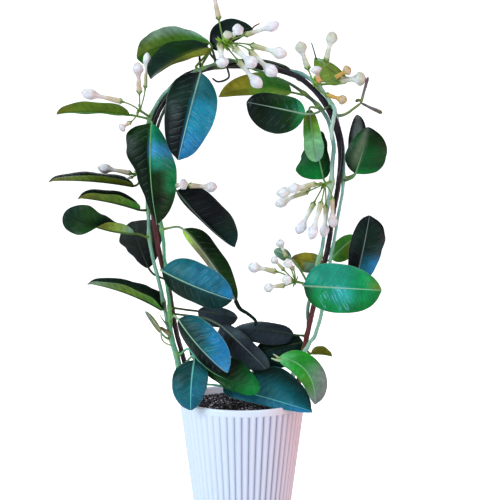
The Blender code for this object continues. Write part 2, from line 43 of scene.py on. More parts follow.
palette = {
    "ink": "#0c1213", "coal": "#15191b", "slate": "#27323a", "smoke": "#3d443f", "ash": "#5b665f",
    "pine": "#12291f", "bottle": "#10310f", "moss": "#1c3f16", "forest": "#0c4a1e", "emerald": "#0b7f35",
    "grass": "#1f8f24", "leafGreen": "#3f8128", "spring": "#62962f", "sage": "#7ba388", "mint": "#77b47e",
    "olive": "#75781c", "darkOlive": "#474d18", "khaki": "#8d8c62", "lime": "#8fae4a",
    # on the leaves petrol, azure, sky, lagoon and turquoise are painted reflections of the sky, and glint is
    # a painted highlight
    "deepTeal": "#113c39", "teal": "#17636a", "petrol": "#196579", "azure": "#2380b2", "sky": "#45a4d8",
    "sea": "#1c8f72", "jade": "#0e9553", "night": "#071a08", "lagoon": "#1b8aa6", "fern": "#64831f",
    "freshLeaf": "#5cba6a", "turquoise": "#2aa79a", "mossGrey": "#576b4d", "steel": "#3f5158",
    "vineShadow": "#2d3a2b", "mist": "#c9cdb4", "mustard": "#a59a2c", "dew": "#a6d2b3", "glint": "#7fcfe6",
    "greyGreen": "#5f7f66", "fog": "#77857c", "leafUnder": "#4d7450", "leafUnderPale": "#7d9f74",
    "ribPale": "#a8cdb0", "ribGreen": "#7dbb84", "ribAqua": "#74d8cf", "ribGrey": "#7b8a84",
    "stalk": "#6f9440", "stalkDark": "#3e5626", "sepal": "#4f7a26", "freshGreen": "#9fcf3e",
    "blush": "#dccfc8", "lilac": "#dfdee3", "pearl": "#efeff3", "wax": "#dde1d6", "apricot": "#e3a35c",
    "wheat": "#b9ba8c", "tan": "#c9a04c", "beige": "#c9b79a", "barkBlack": "#170c10", "bark": "#2a1216",
    "barkRed": "#5c2023", "rust": "#8f352c", "barkGrey": "#4b3f48", "barkGrape": "#2b2130",
    "twigMauve": "#6d5c60", "vineShade": "#2c4a38", "vineGreen": "#4f8246", "vineOlive": "#3a4636",
    "vineFresh": "#4fa070", "freshPale": "#c6dfa8", "vineDeep": "#3c7a5c", "vine": "#5c9a7c",
    "vinePale": "#8dbfa2", "vineLight": "#bcdcc8", "vineBlue": "#8cc0b4", "nodeGreen": "#9ac23a",
    "twigBrown": "#6a6038", "twigGreen": "#7d8a4a", "soilBlack": "#0a0709", "soilBrown": "#2a1a16",
    "soilTan": "#5f4a3c", "soilPale": "#e4dcea", "soilViolet": "#4a4258", "glaze": "#e6f0fb",
    # the next pink is painted light on the pot's right side, and glazeShade paints shade in its grooves as
    # well as colouring its specks
    "glazePaintedPinkLight": "#e7cdd0", "glazeShade": "#9a9cc0",
}


def linear(name):  # a palette colour as scene-linear red, green and blue
    digits = palette[name]
    parts = [int(digits[k:k + 2], 16) / 255 for k in (1, 3, 5)]
    return [c / 12.92 if c <= 0.04045 else ((c + 0.055) / 1.055) ** 2.4 for c in parts]


def smooth(share):
    share = min(1.0, max(0.0, share))
    return share * share * (3 - 2 * share)


def blend(first, second, share):
    return [a + (b - a) * share for a, b in zip(first, second)]


def evenly(values, share):  # the value at a share of the way along a row of evenly spaced values
    place = share * (len(values) - 1)
    index = min(int(place), len(values) - 2)
    return values[index] + (values[index + 1] - values[index]) * smooth(place - index)


def alongStops(names, share):  # names is a row of palette colours, evenly spaced from the foot to the tip
    stops = [linear(name) for name in names.split()]
    share = min(1.0, max(0.0, share))
    return stops[0] if len(stops) == 1 else [evenly(part, share) for part in zip(*stops)]


class Wiring:  # a short way to add nodes to one tree and wire them
    def __init__(self, tree):
        self.tree = tree

    def add(self, kind, settings=None, **sockets):
        node = self.tree.nodes.new(kind)
        for name, value in (settings or {}).items():
            setattr(node, name, value)
        for name, value in sockets.items():
            self.feed(node, name.replace("_", " "), value)
        return node

    def feed(self, node, name, value):
        if isinstance(value, bpy.types.NodeSocket):
            self.tree.links.new(value, node.inputs[name])
        else:
            node.inputs[name].default_value = value

    def calc(self, operation, *values, clamp=False):
        node = self.add("ShaderNodeMath", {"operation": operation, "use_clamp": clamp})
        for index, value in enumerate(values):
            self.feed(node, index, value)
        return node.outputs[0]

    def times(self, product, *values):
        for value in values:
            product = self.calc("MULTIPLY", product, value)
        return product

    def plus(self, total, *values):
        for value in values:
            total = self.calc("ADD", total, value)
        return total

    def vector(self, operation, *values):
        node = self.add("ShaderNodeVectorMath", {"operation": operation})
        for index, value in enumerate(values):
            self.feed(node, "Scale" if operation == "SCALE" and index == 1 else index, value)
        return node.outputs[0]

    def join(self, x, y, z):
        return self.add("ShaderNodeCombineXYZ", X=x, Y=y, Z=z).outputs[0]

    def step(self, value, low, high, toLow=0.0, toHigh=1.0):  # a smooth ramp between two values
        node = self.add("ShaderNodeMapRange", {"interpolation_type": "SMOOTHSTEP"}, Value=value,
                        From_Min=low, From_Max=high, To_Min=toLow, To_Max=toHigh)
        return node.outputs[0]

    def mix(self, share, first, second):  # a colour is a socket or a name in the palette
        node = self.add("ShaderNodeMix", {"data_type": "RGBA"})
        values = {"Factor_Float": share, "A_Color": first, "B_Color": second}
        for index, socket in enumerate(node.inputs):
            value = values.get(socket.identifier)
            if value is not None:
                self.feed(node, index, (*linear(value), 1.0) if isinstance(value, str) else value)
        return next(socket for socket in node.outputs if socket.identifier == "Result_Color")

    def ramp(self, value, names):
        node = self.add("ShaderNodeValToRGB", Fac=value)
        stops = names.split()
        while len(node.color_ramp.elements) < len(stops):
            node.color_ramp.elements.new(0.5)
        for index, name in enumerate(stops):
            node.color_ramp.elements[index].position = index / (len(stops) - 1)
            node.color_ramp.elements[index].color = (*linear(name), 1.0)
        return node.outputs["Color"]

    def grain(self, place, scale, detail=3.0, rough=0.5):
        node = self.add("ShaderNodeTexNoise", Vector=place, Scale=scale, Detail=detail, Roughness=rough)
        return node.outputs["Fac"]

    def bump(self, height, strength, distance):
        return self.add("ShaderNodeBump", Height=height, Strength=strength, Distance=distance).outputs[0]

    def place(self):
        return self.add("ShaderNodeTexCoord").outputs["Object"]

    def mark(self, name, output="Fac"):  # what a mesh has stored at its points, read by a material
        return self.add("ShaderNodeAttribute", {"attribute_name": name}).outputs[output]

    def field(self, name):  # the same in Geometry Nodes
        node = self.add("GeometryNodeInputNamedAttribute", {"data_type": "FLOAT"}, Name=name)
        return node.outputs["Attribute"]

    def store(self, shape, name, value, domain="POINT"):
        node = self.add("GeometryNodeStoreNamedAttribute", {"data_type": "FLOAT", "domain": domain},
                        Geometry=shape, Name=name, Value=value)
        return node.outputs[0]

    def chance(self, low, high, seed):  # a random vector for each point
        node = self.add("FunctionNodeRandomValue", {"data_type": "FLOAT_VECTOR"}, Seed=seed)
        for socket in node.inputs[:2]:
            socket.default_value = low if socket.identifier == "Min" else high
        return node.outputs["Value"]


def newFinish(name, **numbers):  # a Principled material with its fixed numbers, and the wiring to dress it
    material = bpy.data.materials.new(name)
    material.use_nodes = True
    shader = material.node_tree.nodes["Principled BSDF"]
    for socket, value in numbers.items():
        shader.inputs[socket.replace("_", " ")].default_value = value
    return material, shader, Wiring(material.node_tree)


def dress(wiring, shader, colour, roughness, normal):
    for name, value in (("Base Color", colour), ("Roughness", roughness), ("Normal", normal)):
        wiring.feed(shader, name, value)


def meshPiece(name, points, faces, marks, edges=(), finish=None):  # points are in millimetres
    mesh = bpy.data.meshes.new(name)
    mesh.from_pydata([tuple(c * mm for c in point) for point in points], list(edges), faces)
    for mark, values in marks.items():
        isColour = hasattr(values[0], "__len__")
        layer = mesh.attributes.new(mark, "FLOAT_COLOR" if isColour else "FLOAT", "POINT")
        if isColour:
            layer.data.foreach_set("color", [c for colour in values for c in (*colour, 1.0)])
        else:
            layer.data.foreach_set("value", values)
    if faces:
        shape = bmesh.new()
        shape.from_mesh(mesh)
        bmesh.ops.recalc_face_normals(shape, faces=shape.faces)
        shape.to_mesh(mesh)
        shape.free()
        mesh.shade_smooth()
    if finish:
        mesh.materials.append(finish)
    piece = bpy.data.objects.new(name, mesh)
    bpy.context.scene.collection.objects.link(piece)
    return piece


# A Geometry Nodes tree with named inputs. A label that ends in # is a whole number.
def newTree(name, *labels):
    tree = bpy.data.node_groups.new(name, "GeometryNodeTree")
    tree.interface.new_socket("Geometry", in_out="INPUT", socket_type="NodeSocketGeometry")
    for label in labels:
        kind = "NodeSocketInt" if label.endswith("#") else "NodeSocketFloat"
        tree.interface.new_socket(label.rstrip("#"), in_out="INPUT", socket_type=kind)
    tree.interface.new_socket("Finish", in_out="INPUT", socket_type="NodeSocketMaterial")
    tree.interface.new_socket("Geometry", in_out="OUTPUT", socket_type="NodeSocketGeometry")
    return Wiring(tree), tree.nodes.new("NodeGroupInput").outputs


def closeTree(wiring, shape, given):
    real = wiring.add("GeometryNodeRealizeInstances", Geometry=shape)
    dressed = wiring.add("GeometryNodeSetMaterial", Geometry=real.outputs[0], Material=given["Finish"])
    wiring.add("NodeGroupOutput", Geometry=dressed.outputs[0])
    return wiring.tree


def grow(piece, tree, **values):  # runs a tree on a piece and leaves a plain mesh
    modifier = piece.modifiers.new(tree.name, "NODES")
    modifier.node_group = tree
    for item in tree.interface.items_tree:
        label = item.name.replace(" ", "_")
        if item.in_out == "INPUT" and label in values:
            modifier[item.identifier] = values[label]
    graph = bpy.context.evaluated_depsgraph_get()
    mesh = bpy.data.meshes.new_from_object(piece.evaluated_get(graph))
    piece.modifiers.clear()
    old = piece.data
    piece.data = mesh
    bpy.data.meshes.remove(old)
    return piece


def seat(piece, node):  # the piece stands for this node: it hangs under the root and the node's own part is hidden
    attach(piece, "root")
    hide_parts(node)


def smoothLine(points, step):  # a curve through points, with a point about every step
    ends = [points[0] * 2 - points[1], *points, points[-1] * 2 - points[-2]]
    line = []
    for before, start, end, after in zip(ends, ends[1:], ends[2:], ends[3:]):
        count = max(1, round((end - start).length / step))
        for index in range(count):
            t = index / count
            line.append(0.5 * (2 * start + (end - before) * t
                               + (2 * before - 5 * start + 4 * end - after) * t ** 2
                               + (3 * start - before - 3 * end + after) * t ** 3))
    return line + [points[-1]]


def alongLine(line, distance):  # the place and the direction at a distance along a line
    for start, end in zip(line, line[1:]):
        length = (end - start).length
        if distance <= length:
            return start.lerp(end, distance / length), (end - start).normalized()
        distance -= length
    return line[-1].copy(), (line[-1] - line[-2]).normalized()


def nearest(line, place):
    return min(line, key=lambda point: (point - place).length)


def bezier(a, b, c, t):
    return a * (1 - t) ** 2 + b * 2 * t * (1 - t) + c * t * t


def fading(point, place, reach):  # 1 at a place, less further off
    return math.exp(-((point - place).length / reach) ** 2)


def carriedFrames(points, across):  # the side direction carried along a line without twisting
    tangents = []
    for index in range(len(points)):
        before, after = points[max(index - 1, 0)], points[min(index + 1, len(points) - 1)]
        tangents.append((after - before).normalized())
    sides = [(across - tangents[0] * across.dot(tangents[0])).normalized()]
    for before, after in zip(tangents, tangents[1:]):
        side = sides[-1].copy()
        side.rotate(before.rotation_difference(after))
        sides.append(side)
    return tangents, sides


def throughTable(table, share):  # a smooth curve through (place, value) rows
    if share <= table[0][0]:
        return table[0][1]
    if share >= table[-1][0]:
        return table[-1][1]
    index = max(k for k in range(len(table) - 1) if table[k][0] <= share)

    def slope(k):
        before, after = table[max(k - 1, 0)], table[min(k + 1, len(table) - 1)]
        return (after[1] - before[1]) / (after[0] - before[0])

    (x0, y0), (x1, y1) = table[index], table[index + 1]
    gap = x1 - x0
    t = (share - x0) / gap
    return (y0 * (1 + 2 * t) * (1 - t) ** 2 + slope(index) * gap * t * (1 - t) ** 2
            + y1 * t * t * (3 - 2 * t) + slope(index + 1) * gap * t * t * (t - 1))


def oval(middle, side, other, wide, high, count):
    turns = [2 * math.pi * k / count for k in range(count)]
    return [middle + side * (wide * math.cos(turn)) + other * (high * math.sin(turn)) for turn in turns]


def spoke(radius, k, count, z=0.0):
    turn = 2 * math.pi * k / count
    return Vector((radius * math.cos(turn), radius * math.sin(turn), z))


def levelRing(radius, z, count, marks):  # a ring for a loft round the pot's axis, or a pole
    if count == 1:
        return [Vector((0, 0, z))], [marks]
    return [spoke(radius, k, count, z) for k in range(count)], [marks] * count


class Shell:  # closed lofts gathered into one mesh, with marks at their points
    def __init__(self):
        self.points = []
        self.faces = []
        self.marks = {}

    def point(self, place, marks):
        self.points.append(place)
        for name, value in marks.items():
            self.marks.setdefault(name, []).append(value)
        return len(self.points) - 1

    def loft(self, rings):  # rings is a row of (places, marks), and a ring of one place is a pole
        rows = [[self.point(place, mark) for place, mark in zip(*ring)] for ring in rings]
        for row, following in zip(rows, rows[1:]):
            for k in range(max(len(row), len(following))):
                near, nextNear = row[k % len(row)], row[(k + 1) % len(row)]
                far, nextFar = following[k % len(following)], following[(k + 1) % len(following)]
                if len(following) == 1:
                    self.faces.append((near, nextNear, far))
                elif len(row) == 1:
                    self.faces.append((near, nextFar, far))
                else:
                    self.faces.append((near, nextNear, nextFar, far))
        for row in (rows[0], rows[-1]):
            if len(row) > 1:
                self.faces.append(tuple(row))

    def tube(self, line, radii, sides, marks, across=None):  # a round tube with domed ends
        dome = 0.4  # the height of a dome against the radius there
        tangents, ways = carriedFrames(line, across or (line[1] - line[0]).orthogonal())
        rings = [([line[0] - tangents[0] * radii[0] * dome], [marks[0]])]
        for point, tangent, side, radius, mark in zip(line, tangents, ways, radii, marks):
            rings.append((oval(point, side, tangent.cross(side), radius, radius, sides), [mark] * sides))
        rings.append(([line[-1] + tangents[-1] * radii[-1] * dome], [marks[-1]]))
        self.loft(rings)

    def piece(self, name, finish):
        return meshPiece(name, self.points, self.faces, self.marks, finish=finish)


pot = {
    "height": 125.0, "rimRadius": 65.0, "footRadius": 48.5, "wall": 4.0, "floor": 6.0, "lipRound": 1.6,
    "reeds": 54, "reedDepth": 1.5, "plainBand": 5.0, "reedEnd": 4.2, "pointsPerReed": 14, "endRows": 18,
    # the rounded edge of the foot: (how far inside the wall, height, on the outer wall or not)
    "footEdge": [(6.0, 0.6, 0.0), (4.0, 0.0, 0.0), (1.4, 0.0, 0.0), (0.5, 0.25, 1.0)],
    "rough": (0.36, 0.5), "bump": 0.16, "grooveShade": 1.3,
}


def potRadius(z):
    return pot["footRadius"] + (pot["rimRadius"] - pot["footRadius"]) * z / pot["height"]


def potFinish():
    material, shader, w = newFinish("potGlaze", Roughness=0.42, Coat_Weight=0.22, Coat_Roughness=0.2,
                                    Specular_IOR_Level=0.45)
    place = w.place()
    across = w.add("ShaderNodeSeparateXYZ", Vector=place).outputs["X"]
    # painted light: the right side of the wall is tinted pink as if lit by the pink lamp on that side
    wall = w.mix(w.step(across, 0.015, 0.058), "glaze", "glazePaintedPinkLight")
    # painted shade in the grooves: faint on the left, where the key lamp shines in, and darkest right of the
    # middle
    paintedGrooveShade = w.times(w.step(across, -0.035, 0.012, 0.15, pot["grooveShade"]),
                    w.step(across, 0.034, 0.056, 1.0, 0.35))
    colour = w.mix(w.calc("MULTIPLY", w.mark("groove"), paintedGrooveShade, clamp=True), wall, "glazeShade")
    colour = w.mix(w.step(w.grain(place, 22.0, 4.0, 0.55), 0.35, 0.75, 0.0, 0.10), colour, "lilac")
    colour = w.mix(w.step(w.grain(place, 900.0, 2.0), 0.66, 0.74, 0.0, 0.12), colour, "glazeShade")
    height = w.plus(w.grain(place, 140.0, 4.0), w.times(w.grain(place, 700.0), 0.3))
    dress(w, shader, colour, w.step(w.grain(place, 60.0, 5.0), 0.3, 0.7, *pot["rough"]),
          w.bump(height, pot["bump"], 0.0006))
    return material


def reedTree():  # pulls the grooves between the reeds into the outer wall
    w, given = newTree("reeds", "Count#", "Depth", "Reed Top", "End Height")
    parts = w.add("ShaderNodeSeparateXYZ", Vector=w.add("GeometryNodeInputPosition").outputs[0]).outputs
    wave = w.times(w.calc("ARCTAN2", parts["Y"], parts["X"]), w.times(given["Count"], 0.5))
    crest = w.calc("ABSOLUTE", w.calc("COSINE", wave))  # 1 on a reed's middle and 0 in a groove
    up = w.calc("DIVIDE", w.calc("SUBTRACT", given["Reed Top"], parts["Z"]), given["End Height"])
    end = w.step(w.plus(up, w.times(w.calc("SUBTRACT", 1.0, crest), -0.35)), 0.0, 0.42)
    groove = w.times(w.calc("SUBTRACT", 1.0, w.calc("POWER", crest, 0.5)), end, w.field("outer"))
    flat = w.vector("NORMALIZE", w.join(parts["X"], parts["Y"], 0.0))
    inward = w.vector("SCALE", flat, w.times(groove, given["Depth"], -mm))
    moved = w.add("GeometryNodeSetPosition", Geometry=given["Geometry"], Offset=inward)
    return closeTree(w, w.store(moved.outputs[0], "groove", groove), given)


def potProfile():  # (radius, height, on the outer wall or not), from the foot up and back down inside
    top, lip, thick, floor = (pot[name] for name in ("height", "lipRound", "wall", "floor"))
    reedTop = top - pot["plainBand"]
    endStart = reedTop - pot["reedEnd"]
    profile = [(potRadius(0) - inset, z, outer) for inset, z, outer in pot["footEdge"]]
    profile.append((potRadius(1.2) - 0.02, 1.2, 1.0))
    endRows = [endStart + (pot["reedEnd"] + 0.8) * k / pot["endRows"] for k in range(pot["endRows"] + 1)]
    for z in (20.0, 45.0, 70.0, 95.0, endStart - 3, *endRows, reedTop + 3, top - lip):
        profile.append((potRadius(z), z, 1.0))
    middle = potRadius(top) - thick / 2
    for k in range(1, 9):
        turn = math.pi * k / 9
        profile.append((middle + thick / 2 * math.cos(turn), top - lip + lip * math.sin(turn), 0.0))
    profile.append((potRadius(top) - thick, top - lip, 0.0))
    profile += [(potRadius(z) - thick, z, 0.0) for z in (105.0, 60.0, floor + 2.0)]
    return profile + [(potRadius(floor) - thick - 2.0, floor, 0.0)]


def buildPot():
    profile = potProfile()
    around = pot["reeds"] * pot["pointsPerReed"]
    shell = Shell()
    rings = [levelRing(radius, z, around, {"outer": outer}) for radius, z, outer in profile]
    poles = [levelRing(0, profile[k][1], 1, {"outer": 0.0}) for k in (0, -1)]
    shell.loft([poles[0], *rings, poles[1]])
    finish = potFinish()
    piece = shell.piece("reededPot", finish)
    grow(piece, reedTree(), Finish=finish, Count=pot["reeds"], Depth=pot["reedDepth"],
         Reed_Top=(pot["height"] - pot["plainBand"]) * mm, End_Height=pot["reedEnd"] * mm)
    seat(piece, "pot")


soil = {
    "level": 117.0, "mound": 4.0, "rough": 1.8, "rings": 26, "sides": 96, "bottom": 6.3, "gap": 0.6,
    "crumbs": 26.0, "crumbSize": 2.4, "crumbLength": 1.2, "seed": 7,
}


def soilFinish():
    material, shader, w = newFinish("soilMix", Roughness=0.9, Specular_IOR_Level=0.25)
    place = w.place()
    speckle = w.times(w.calc("SUBTRACT", w.grain(place, 420.0, 4.0, 0.6), 0.5), 1.1)
    shade = w.calc("ADD", w.mark("crumbTone"), speckle, clamp=True)
    names = "soilBlack soilBlack soilBrown soilBlack soilBlack soilBlack soilViolet soilTan soilPale"
    dress(w, shader, w.ramp(shade, names), w.step(w.grain(place, 300.0), 0.3, 0.7, 0.55, 0.95),
          w.bump(w.grain(place, 900.0, 5.0), 0.5, 0.0008))
    return material


def crumbTree():  # strews crumbs over the marked top of the soil, as many to a square centimetre as Density
    w, given = newTree("soilCrumbs", "Density", "Size", "Length", "Seed#")
    strewn = w.add("GeometryNodeDistributePointsOnFaces", {"distribute_method": "RANDOM"},
                   Mesh=given["Geometry"], Density=w.times(given["Density"], 10000.0),
                   Selection=w.calc("GREATER_THAN", w.field("soilTop"), 0.5), Seed=given["Seed"])
    lump = w.add("GeometryNodeMeshIcoSphere", Radius=0.5, Subdivisions=1)
    girth = w.times(given["Size"], mm)
    size = w.vector("MULTIPLY", w.chance((0.45, 0.4, 0.35), (1.5, 1.1, 0.9), given["Seed"]),
                    w.join(w.times(girth, given["Length"]), girth, girth))
    spin = w.chance((-0.6, -0.6, 0.0), (0.6, 0.6, 6.28), w.plus(given["Seed"], 11.0))
    crumbs = w.add("GeometryNodeInstanceOnPoints", Points=strewn.outputs["Points"],
                   Instance=lump.outputs["Mesh"], Rotation=spin, Scale=size)
    tone = w.add("FunctionNodeRandomValue", {"data_type": "FLOAT"}, Seed=w.plus(given["Seed"], 5.0))
    both = w.add("GeometryNodeJoinGeometry")
    w.tree.links.new(given["Geometry"], both.inputs[0])
    w.tree.links.new(w.store(crumbs.outputs[0], "crumbTone", tone.outputs[1], "INSTANCE"), both.inputs[0])
    return closeTree(w, both.outputs[0], given)


def buildSoil():
    inset = pot["wall"] + soil["gap"]
    radius = potRadius(soil["level"]) - inset
    count = soil["sides"]
    buried, bare = {"crumbTone": 0.2, "soilTop": 0.0}, {"crumbTone": 0.2, "soilTop": 1.0}
    rings = [levelRing(0, soil["bottom"], 1, buried)]
    rings.append(levelRing(potRadius(soil["bottom"]) - inset, soil["bottom"], count, buried))
    for ring in range(soil["rings"]):
        share = 1 - ring / soil["rings"]
        places = []
        for k in range(count):
            place = spoke(radius * share, k, count)
            rise = noise.noise(place * 0.09) * 0.6 + noise.noise(place * 0.28) * 0.4
            rough = soil["rough"] * rise * (1 if ring else 0)
            place.z = soil["level"] + soil["mound"] * (1 - share ** 2) + rough
            places.append(place)
        marks = [{"crumbTone": 0.25 + 0.2 * noise.noise(place * 0.3), "soilTop": float(ring > 0)}
                 for place in places]
        rings.append((places, marks))
    rings.append(levelRing(0, soil["level"] + soil["mound"], 1, bare))
    shell = Shell()
    shell.loft(rings)
    finish = soilFinish()
    piece = shell.piece("pottingSoil", finish)
    grow(piece, crumbTree(), Finish=finish, Density=soil["crumbs"], Size=soil["crumbSize"],
         Length=soil["crumbLength"], Seed=soil["seed"])
    seat(piece, "soil")


stems = {
    "vineRadius": 1.7, "step": 1.6, "sides": 16, "lumps": 0.14, "hoopLumps": 0.10, "clearance": 0.4,
    "swell": 0.5, "swellReach": 4.5, "hoopGuide": 4.0, "vineGuide": 3.0, "strandGuide": 3.0,
    "hoopFine": 2.0, "vineFine": 1.5, "twigFine": 1.2,
}

# A second woody strand that winds along the top of the hoop: from where to where along it, its first turn
# and its turn for each millimetre in degrees, how far it is from the hoop's middle, its radius and colours.
strand = {
    "from": 345.0, "to": 640.0, "start": -40.0, "turn": 1.7, "off": 2.9, "radius": 1.7,
    "tones": "bark barkBlack barkGrape barkBlack bark barkGrape barkBlack",
}

# The hoop's line from the left foot over the top to the right foot, as (x, z) in the plane y = 0.
hoopLine = [
    (-44, 66), (-48, 112), (-59, 160), (-68, 195), (-75, 237), (-85, 277), (-91, 320), (-94, 364),
    (-90, 402), (-78, 428), (-60, 450), (-36, 461), (-8, 464), (20, 463), (45, 457), (66, 445),
    (84, 424), (95, 400), (99.6, 374), (97.5, 343), (92, 312), (87, 278), (76, 232), (66, 186),
    (58, 140), (54, 112), (50, 66),
]

# Each stem's way round the hoop: (mm along the hoop from its foot, degrees round it, mm off its middle).
vineWays = {
    "vine_left_outer": ("left", [
        (20, -10, 7), (60, -10, 7.5), (95, -2, 7.5), (130, 5, 7), (170, 5, 8), (220, -15, 8),
        (260, -40, 6.5), (310, -40, 5.5), (345, 0, 5.2), (368, 15, 5.0), (385, 60, 4.6), (400, 110, 5),
        (418, 95, 4.8), (440, 70, 4.6), (470, 30, 5), (500, -30, 5), (525, -110, 5.5),
    ]),
    "vine_left_inner": ("left", [
        (20, 75, 7), (60, 35, 7), (95, 40, 6.5), (126, 45, 6.5), (170, 80, 6), (202, 130, 5.8),
        (225, 172, 6.5), (260, 185, 6.5), (300, 195, 6), (340, 180, 4.8), (380, 150, 4.8), (430, 120, 5),
        (475, 90, 5.5),
    ]),
    "vine_right_outer": ("right", [
        (20, 160, 7), (85, 170, 7), (104, 110, 6.5), (116, 65, 7), (128, 20, 8.5), (145, 5, 9.5),
        (170, 0, 8.5), (215, 35, 5.5), (240, 15, 5.5), (270, 0, 5.5), (290, -20, 4.8), (305, -30, 4.4),
        (340, -30, 4.4), (358, 10, 5.5), (385, 25, 6), (402, -20, 5), (422, -80, 4.5), (450, -90, 4.5),
    ]),
    "vine_right_inner": ("right", [
        (20, 270, 7), (80, 272, 7), (130, 268, 6.5), (158, 205, 6), (180, 192, 6.5), (215, 165, 6),
        (245, 180, 6.5), (275, 190, 7), (303, 186, 8.2), (325, 180, 6.0), (350, 176, 5.0), (400, 180, 10),
        (430, 178, 9), (448, 150, 6), (462, 85, 5), (478, 15, 5.5), (490, 0, 6),
    ]),
}

# Each stem's radii and its colours, evenly spaced from its root to its end.
stemLooks = {
    "hoop": ((2.6, 2.6),
             "barkGrape barkGrape bark barkRed barkGrape barkBlack bark barkGrape barkBlack barkBlack "
             "barkRed rust rust"),
    "vine_left_outer": ((2.3, 2.1, 1.9, 1.9, 1.7, 1.6, 1.6),
                        "vineDeep vinePale vinePale vinePale vine vinePale vineOlive vineOlive"),
    "vine_left_inner": ((2.0, 1.8, 1.75, 1.75, 1.6, 1.5, 1.5),
                        "vineDeep vine vineFresh vineFresh vine vineShadow bark barkBlack"),
    "vine_right_outer": ((2.2, 2.4, 1.9, 1.6, 1.5, 1.2, 2.1, 1.5),
                         "vinePale vineLight vinePale vinePale vineBlue vineBlue vineLight vineBlue "
                         "vineBlue"),
    "vine_right_inner": ((2.0, 1.8, 1.8, 1.9, 2.2, 2.0, 1.4, 1.4),
                         "vineDeep vine vineOlive vinePale vineBlue vineLight vineBlue vineOlive "
                         "vineGreen vineGreen"),
}

# Short twigs that leave a stem: the stem, points along the twig, its radius at both ends and its colours.
twigs = [
    ("vine_right_outer", [(88, 0, 415), (97, -1, 413), (105, -5, 415), (112, -7, 420), (119.2, -8, 425.5)],
     (1.7, 1.3), "vineBlue twigGreen twigGreen"),
    ("vine_right_outer", [(119.2, -8, 425.5), (122, -9, 437), (125.8, -10, 451)], (1.4, 1.6),
     "twigGreen twigMauve twigMauve"),
    ("vine_right_outer", [(119.2, -8, 425.5), (129, -10, 420.5), (139.9, -12, 415.4)], (1.2, 2.0),
     "barkGrey twigMauve twigBrown"),
    ("vine_right_outer", [(119.2, -8, 425.5), (117.5, -9, 428.5), (113.5, -10, 427)], (1.3, 1.9),
     "twigGreen stalkDark"),
    ("vine_right_outer", [(90, -5, 425), (93, -8, 419), (92, -8, 411), (90, -8, 400), (90, -8, 388)],
     (1.9, 2.1), "vineBlue vineLight vineLight"),
    ("vine_right_outer", [(41, -33, 169), (36, -38, 170), (29, -40, 172.5)], (1.7, 0.8), "dew freshPale"),
    ("vine_right_outer", [(40, -34, 170.5), (35, -39, 174), (31, -41, 177)], (1.2, 0.7), "lime freshPale"),
    ("vine_left_inner", [(-42, 2, 461), (-43, 4, 474)], (1.3, 1.2), "barkBlack bark"),
    ("vine_left_inner", [(-26, 0, 464), (-28, -2, 473), (-30, -3, 480)], (1.6, 1.2), "bark stalkDark"),
    ("vine_left_inner", [(-15, -1, 461), (-13, -3, 452), (-18, -4, 448), (-25, -3, 447), (-30, -2, 450.6)],
     (1.1, 1.0), "barkBlack bark"),
    ("vine_left_outer", [(-73, -4, 190), (-77, -6, 193.5), (-83.5, -7, 199)], (2.8, 1.5), "khaki twigBrown"),
    ("vine_left_outer", [(-73, -3, 179), (-79.9, -5, 183), (-82.9, -5, 189), (-82, -6, 194)], (1.0, 0.8),
     "freshPale khaki"),
    ("vine_left_outer", [(-74.5, -4, 197), (-80.7, -6, 206), (-83.7, -6, 211)], (1.0, 0.6), "fog khaki"),
]


def hoopPoints():
    return smoothLine([Vector((x, 0, z)) for x, z in hoopLine], stems["hoopGuide"])


def besideHoop(hoop, distance, turn, off, mirrored=False):
    middle, direction = alongLine(hoop, distance)
    outward = Vector((-direction.z, 0, direction.x))
    if mirrored:
        outward.negate()
    turn = math.radians(turn)
    return middle + off * (math.cos(turn) * outward + math.sin(turn) * Vector((0, -1, 0)))


def ease(stations, distance, column):
    for start, end in zip(stations, stations[1:]):
        if distance <= end[0]:
            share = (distance - start[0]) / (end[0] - start[0])
            return start[column] + (end[column] - start[column]) * smooth(share)


def vinePoints(side, stations):
    hoop = hoopPoints()
    if side == "right":
        hoop.reverse()
    line = []
    distance = stations[0][0]
    while distance <= stations[-1][0]:
        turn, off = ease(stations, distance, 1), ease(stations, distance, 2)
        line.append(besideHoop(hoop, distance, turn, off, side == "right"))
        distance += stems["vineGuide"]
    return line


def strandPoints():
    hoop = hoopPoints()
    line = []
    distance = strand["from"]
    while distance <= strand["to"]:
        turn = strand["start"] + strand["turn"] * (distance - strand["from"])
        line.append(besideHoop(hoop, distance, turn, strand["off"]))
        distance += stems["strandGuide"]
    return line


def stemTree():  # a round stem along each line, with soft lumps, and marks for its bark
    w, given = newTree("stem", "Step", "Sides#", "Lumps", "Seed#")
    curve = w.add("GeometryNodeMeshToCurve", Mesh=given["Geometry"])
    even = w.add("GeometryNodeResampleCurve", {"mode": "LENGTH"}, Curve=curve.outputs[0])
    w.feed(even, "Length", w.times(given["Step"], mm))
    along = w.store(even.outputs[0], "alongStem", w.add("GeometryNodeSplineParameter").outputs["Length"])
    ring = w.add("GeometryNodeCurvePrimitiveCircle", Resolution=given["Sides"], Radius=1.0)
    around = w.store(ring.outputs[0], "aroundStem", w.add("GeometryNodeSplineParameter").outputs["Factor"])
    tube = w.add("GeometryNodeCurveToMesh", Curve=along, Profile_Curve=around, Fill_Caps=True,
                 Scale=w.field("girth"))
    place = w.add("GeometryNodeInputPosition").outputs[0]
    far = w.vector("ADD", place, w.join(w.times(given["Seed"], 0.37), 0.0, 0.0))
    lump = w.calc("SUBTRACT", w.grain(far, 190.0, 2.0), 0.5)
    push = w.times(lump, given["Lumps"], w.field("girth"), 4.0)
    normal = w.add("GeometryNodeInputNormal").outputs[0]
    bent = w.add("GeometryNodeSetPosition", Geometry=tube.outputs[0], Offset=w.vector("SCALE", normal, push))
    soft = w.add("GeometryNodeSetShadeSmooth", Geometry=bent.outputs[0])
    return closeTree(w, soft.outputs[0], given)


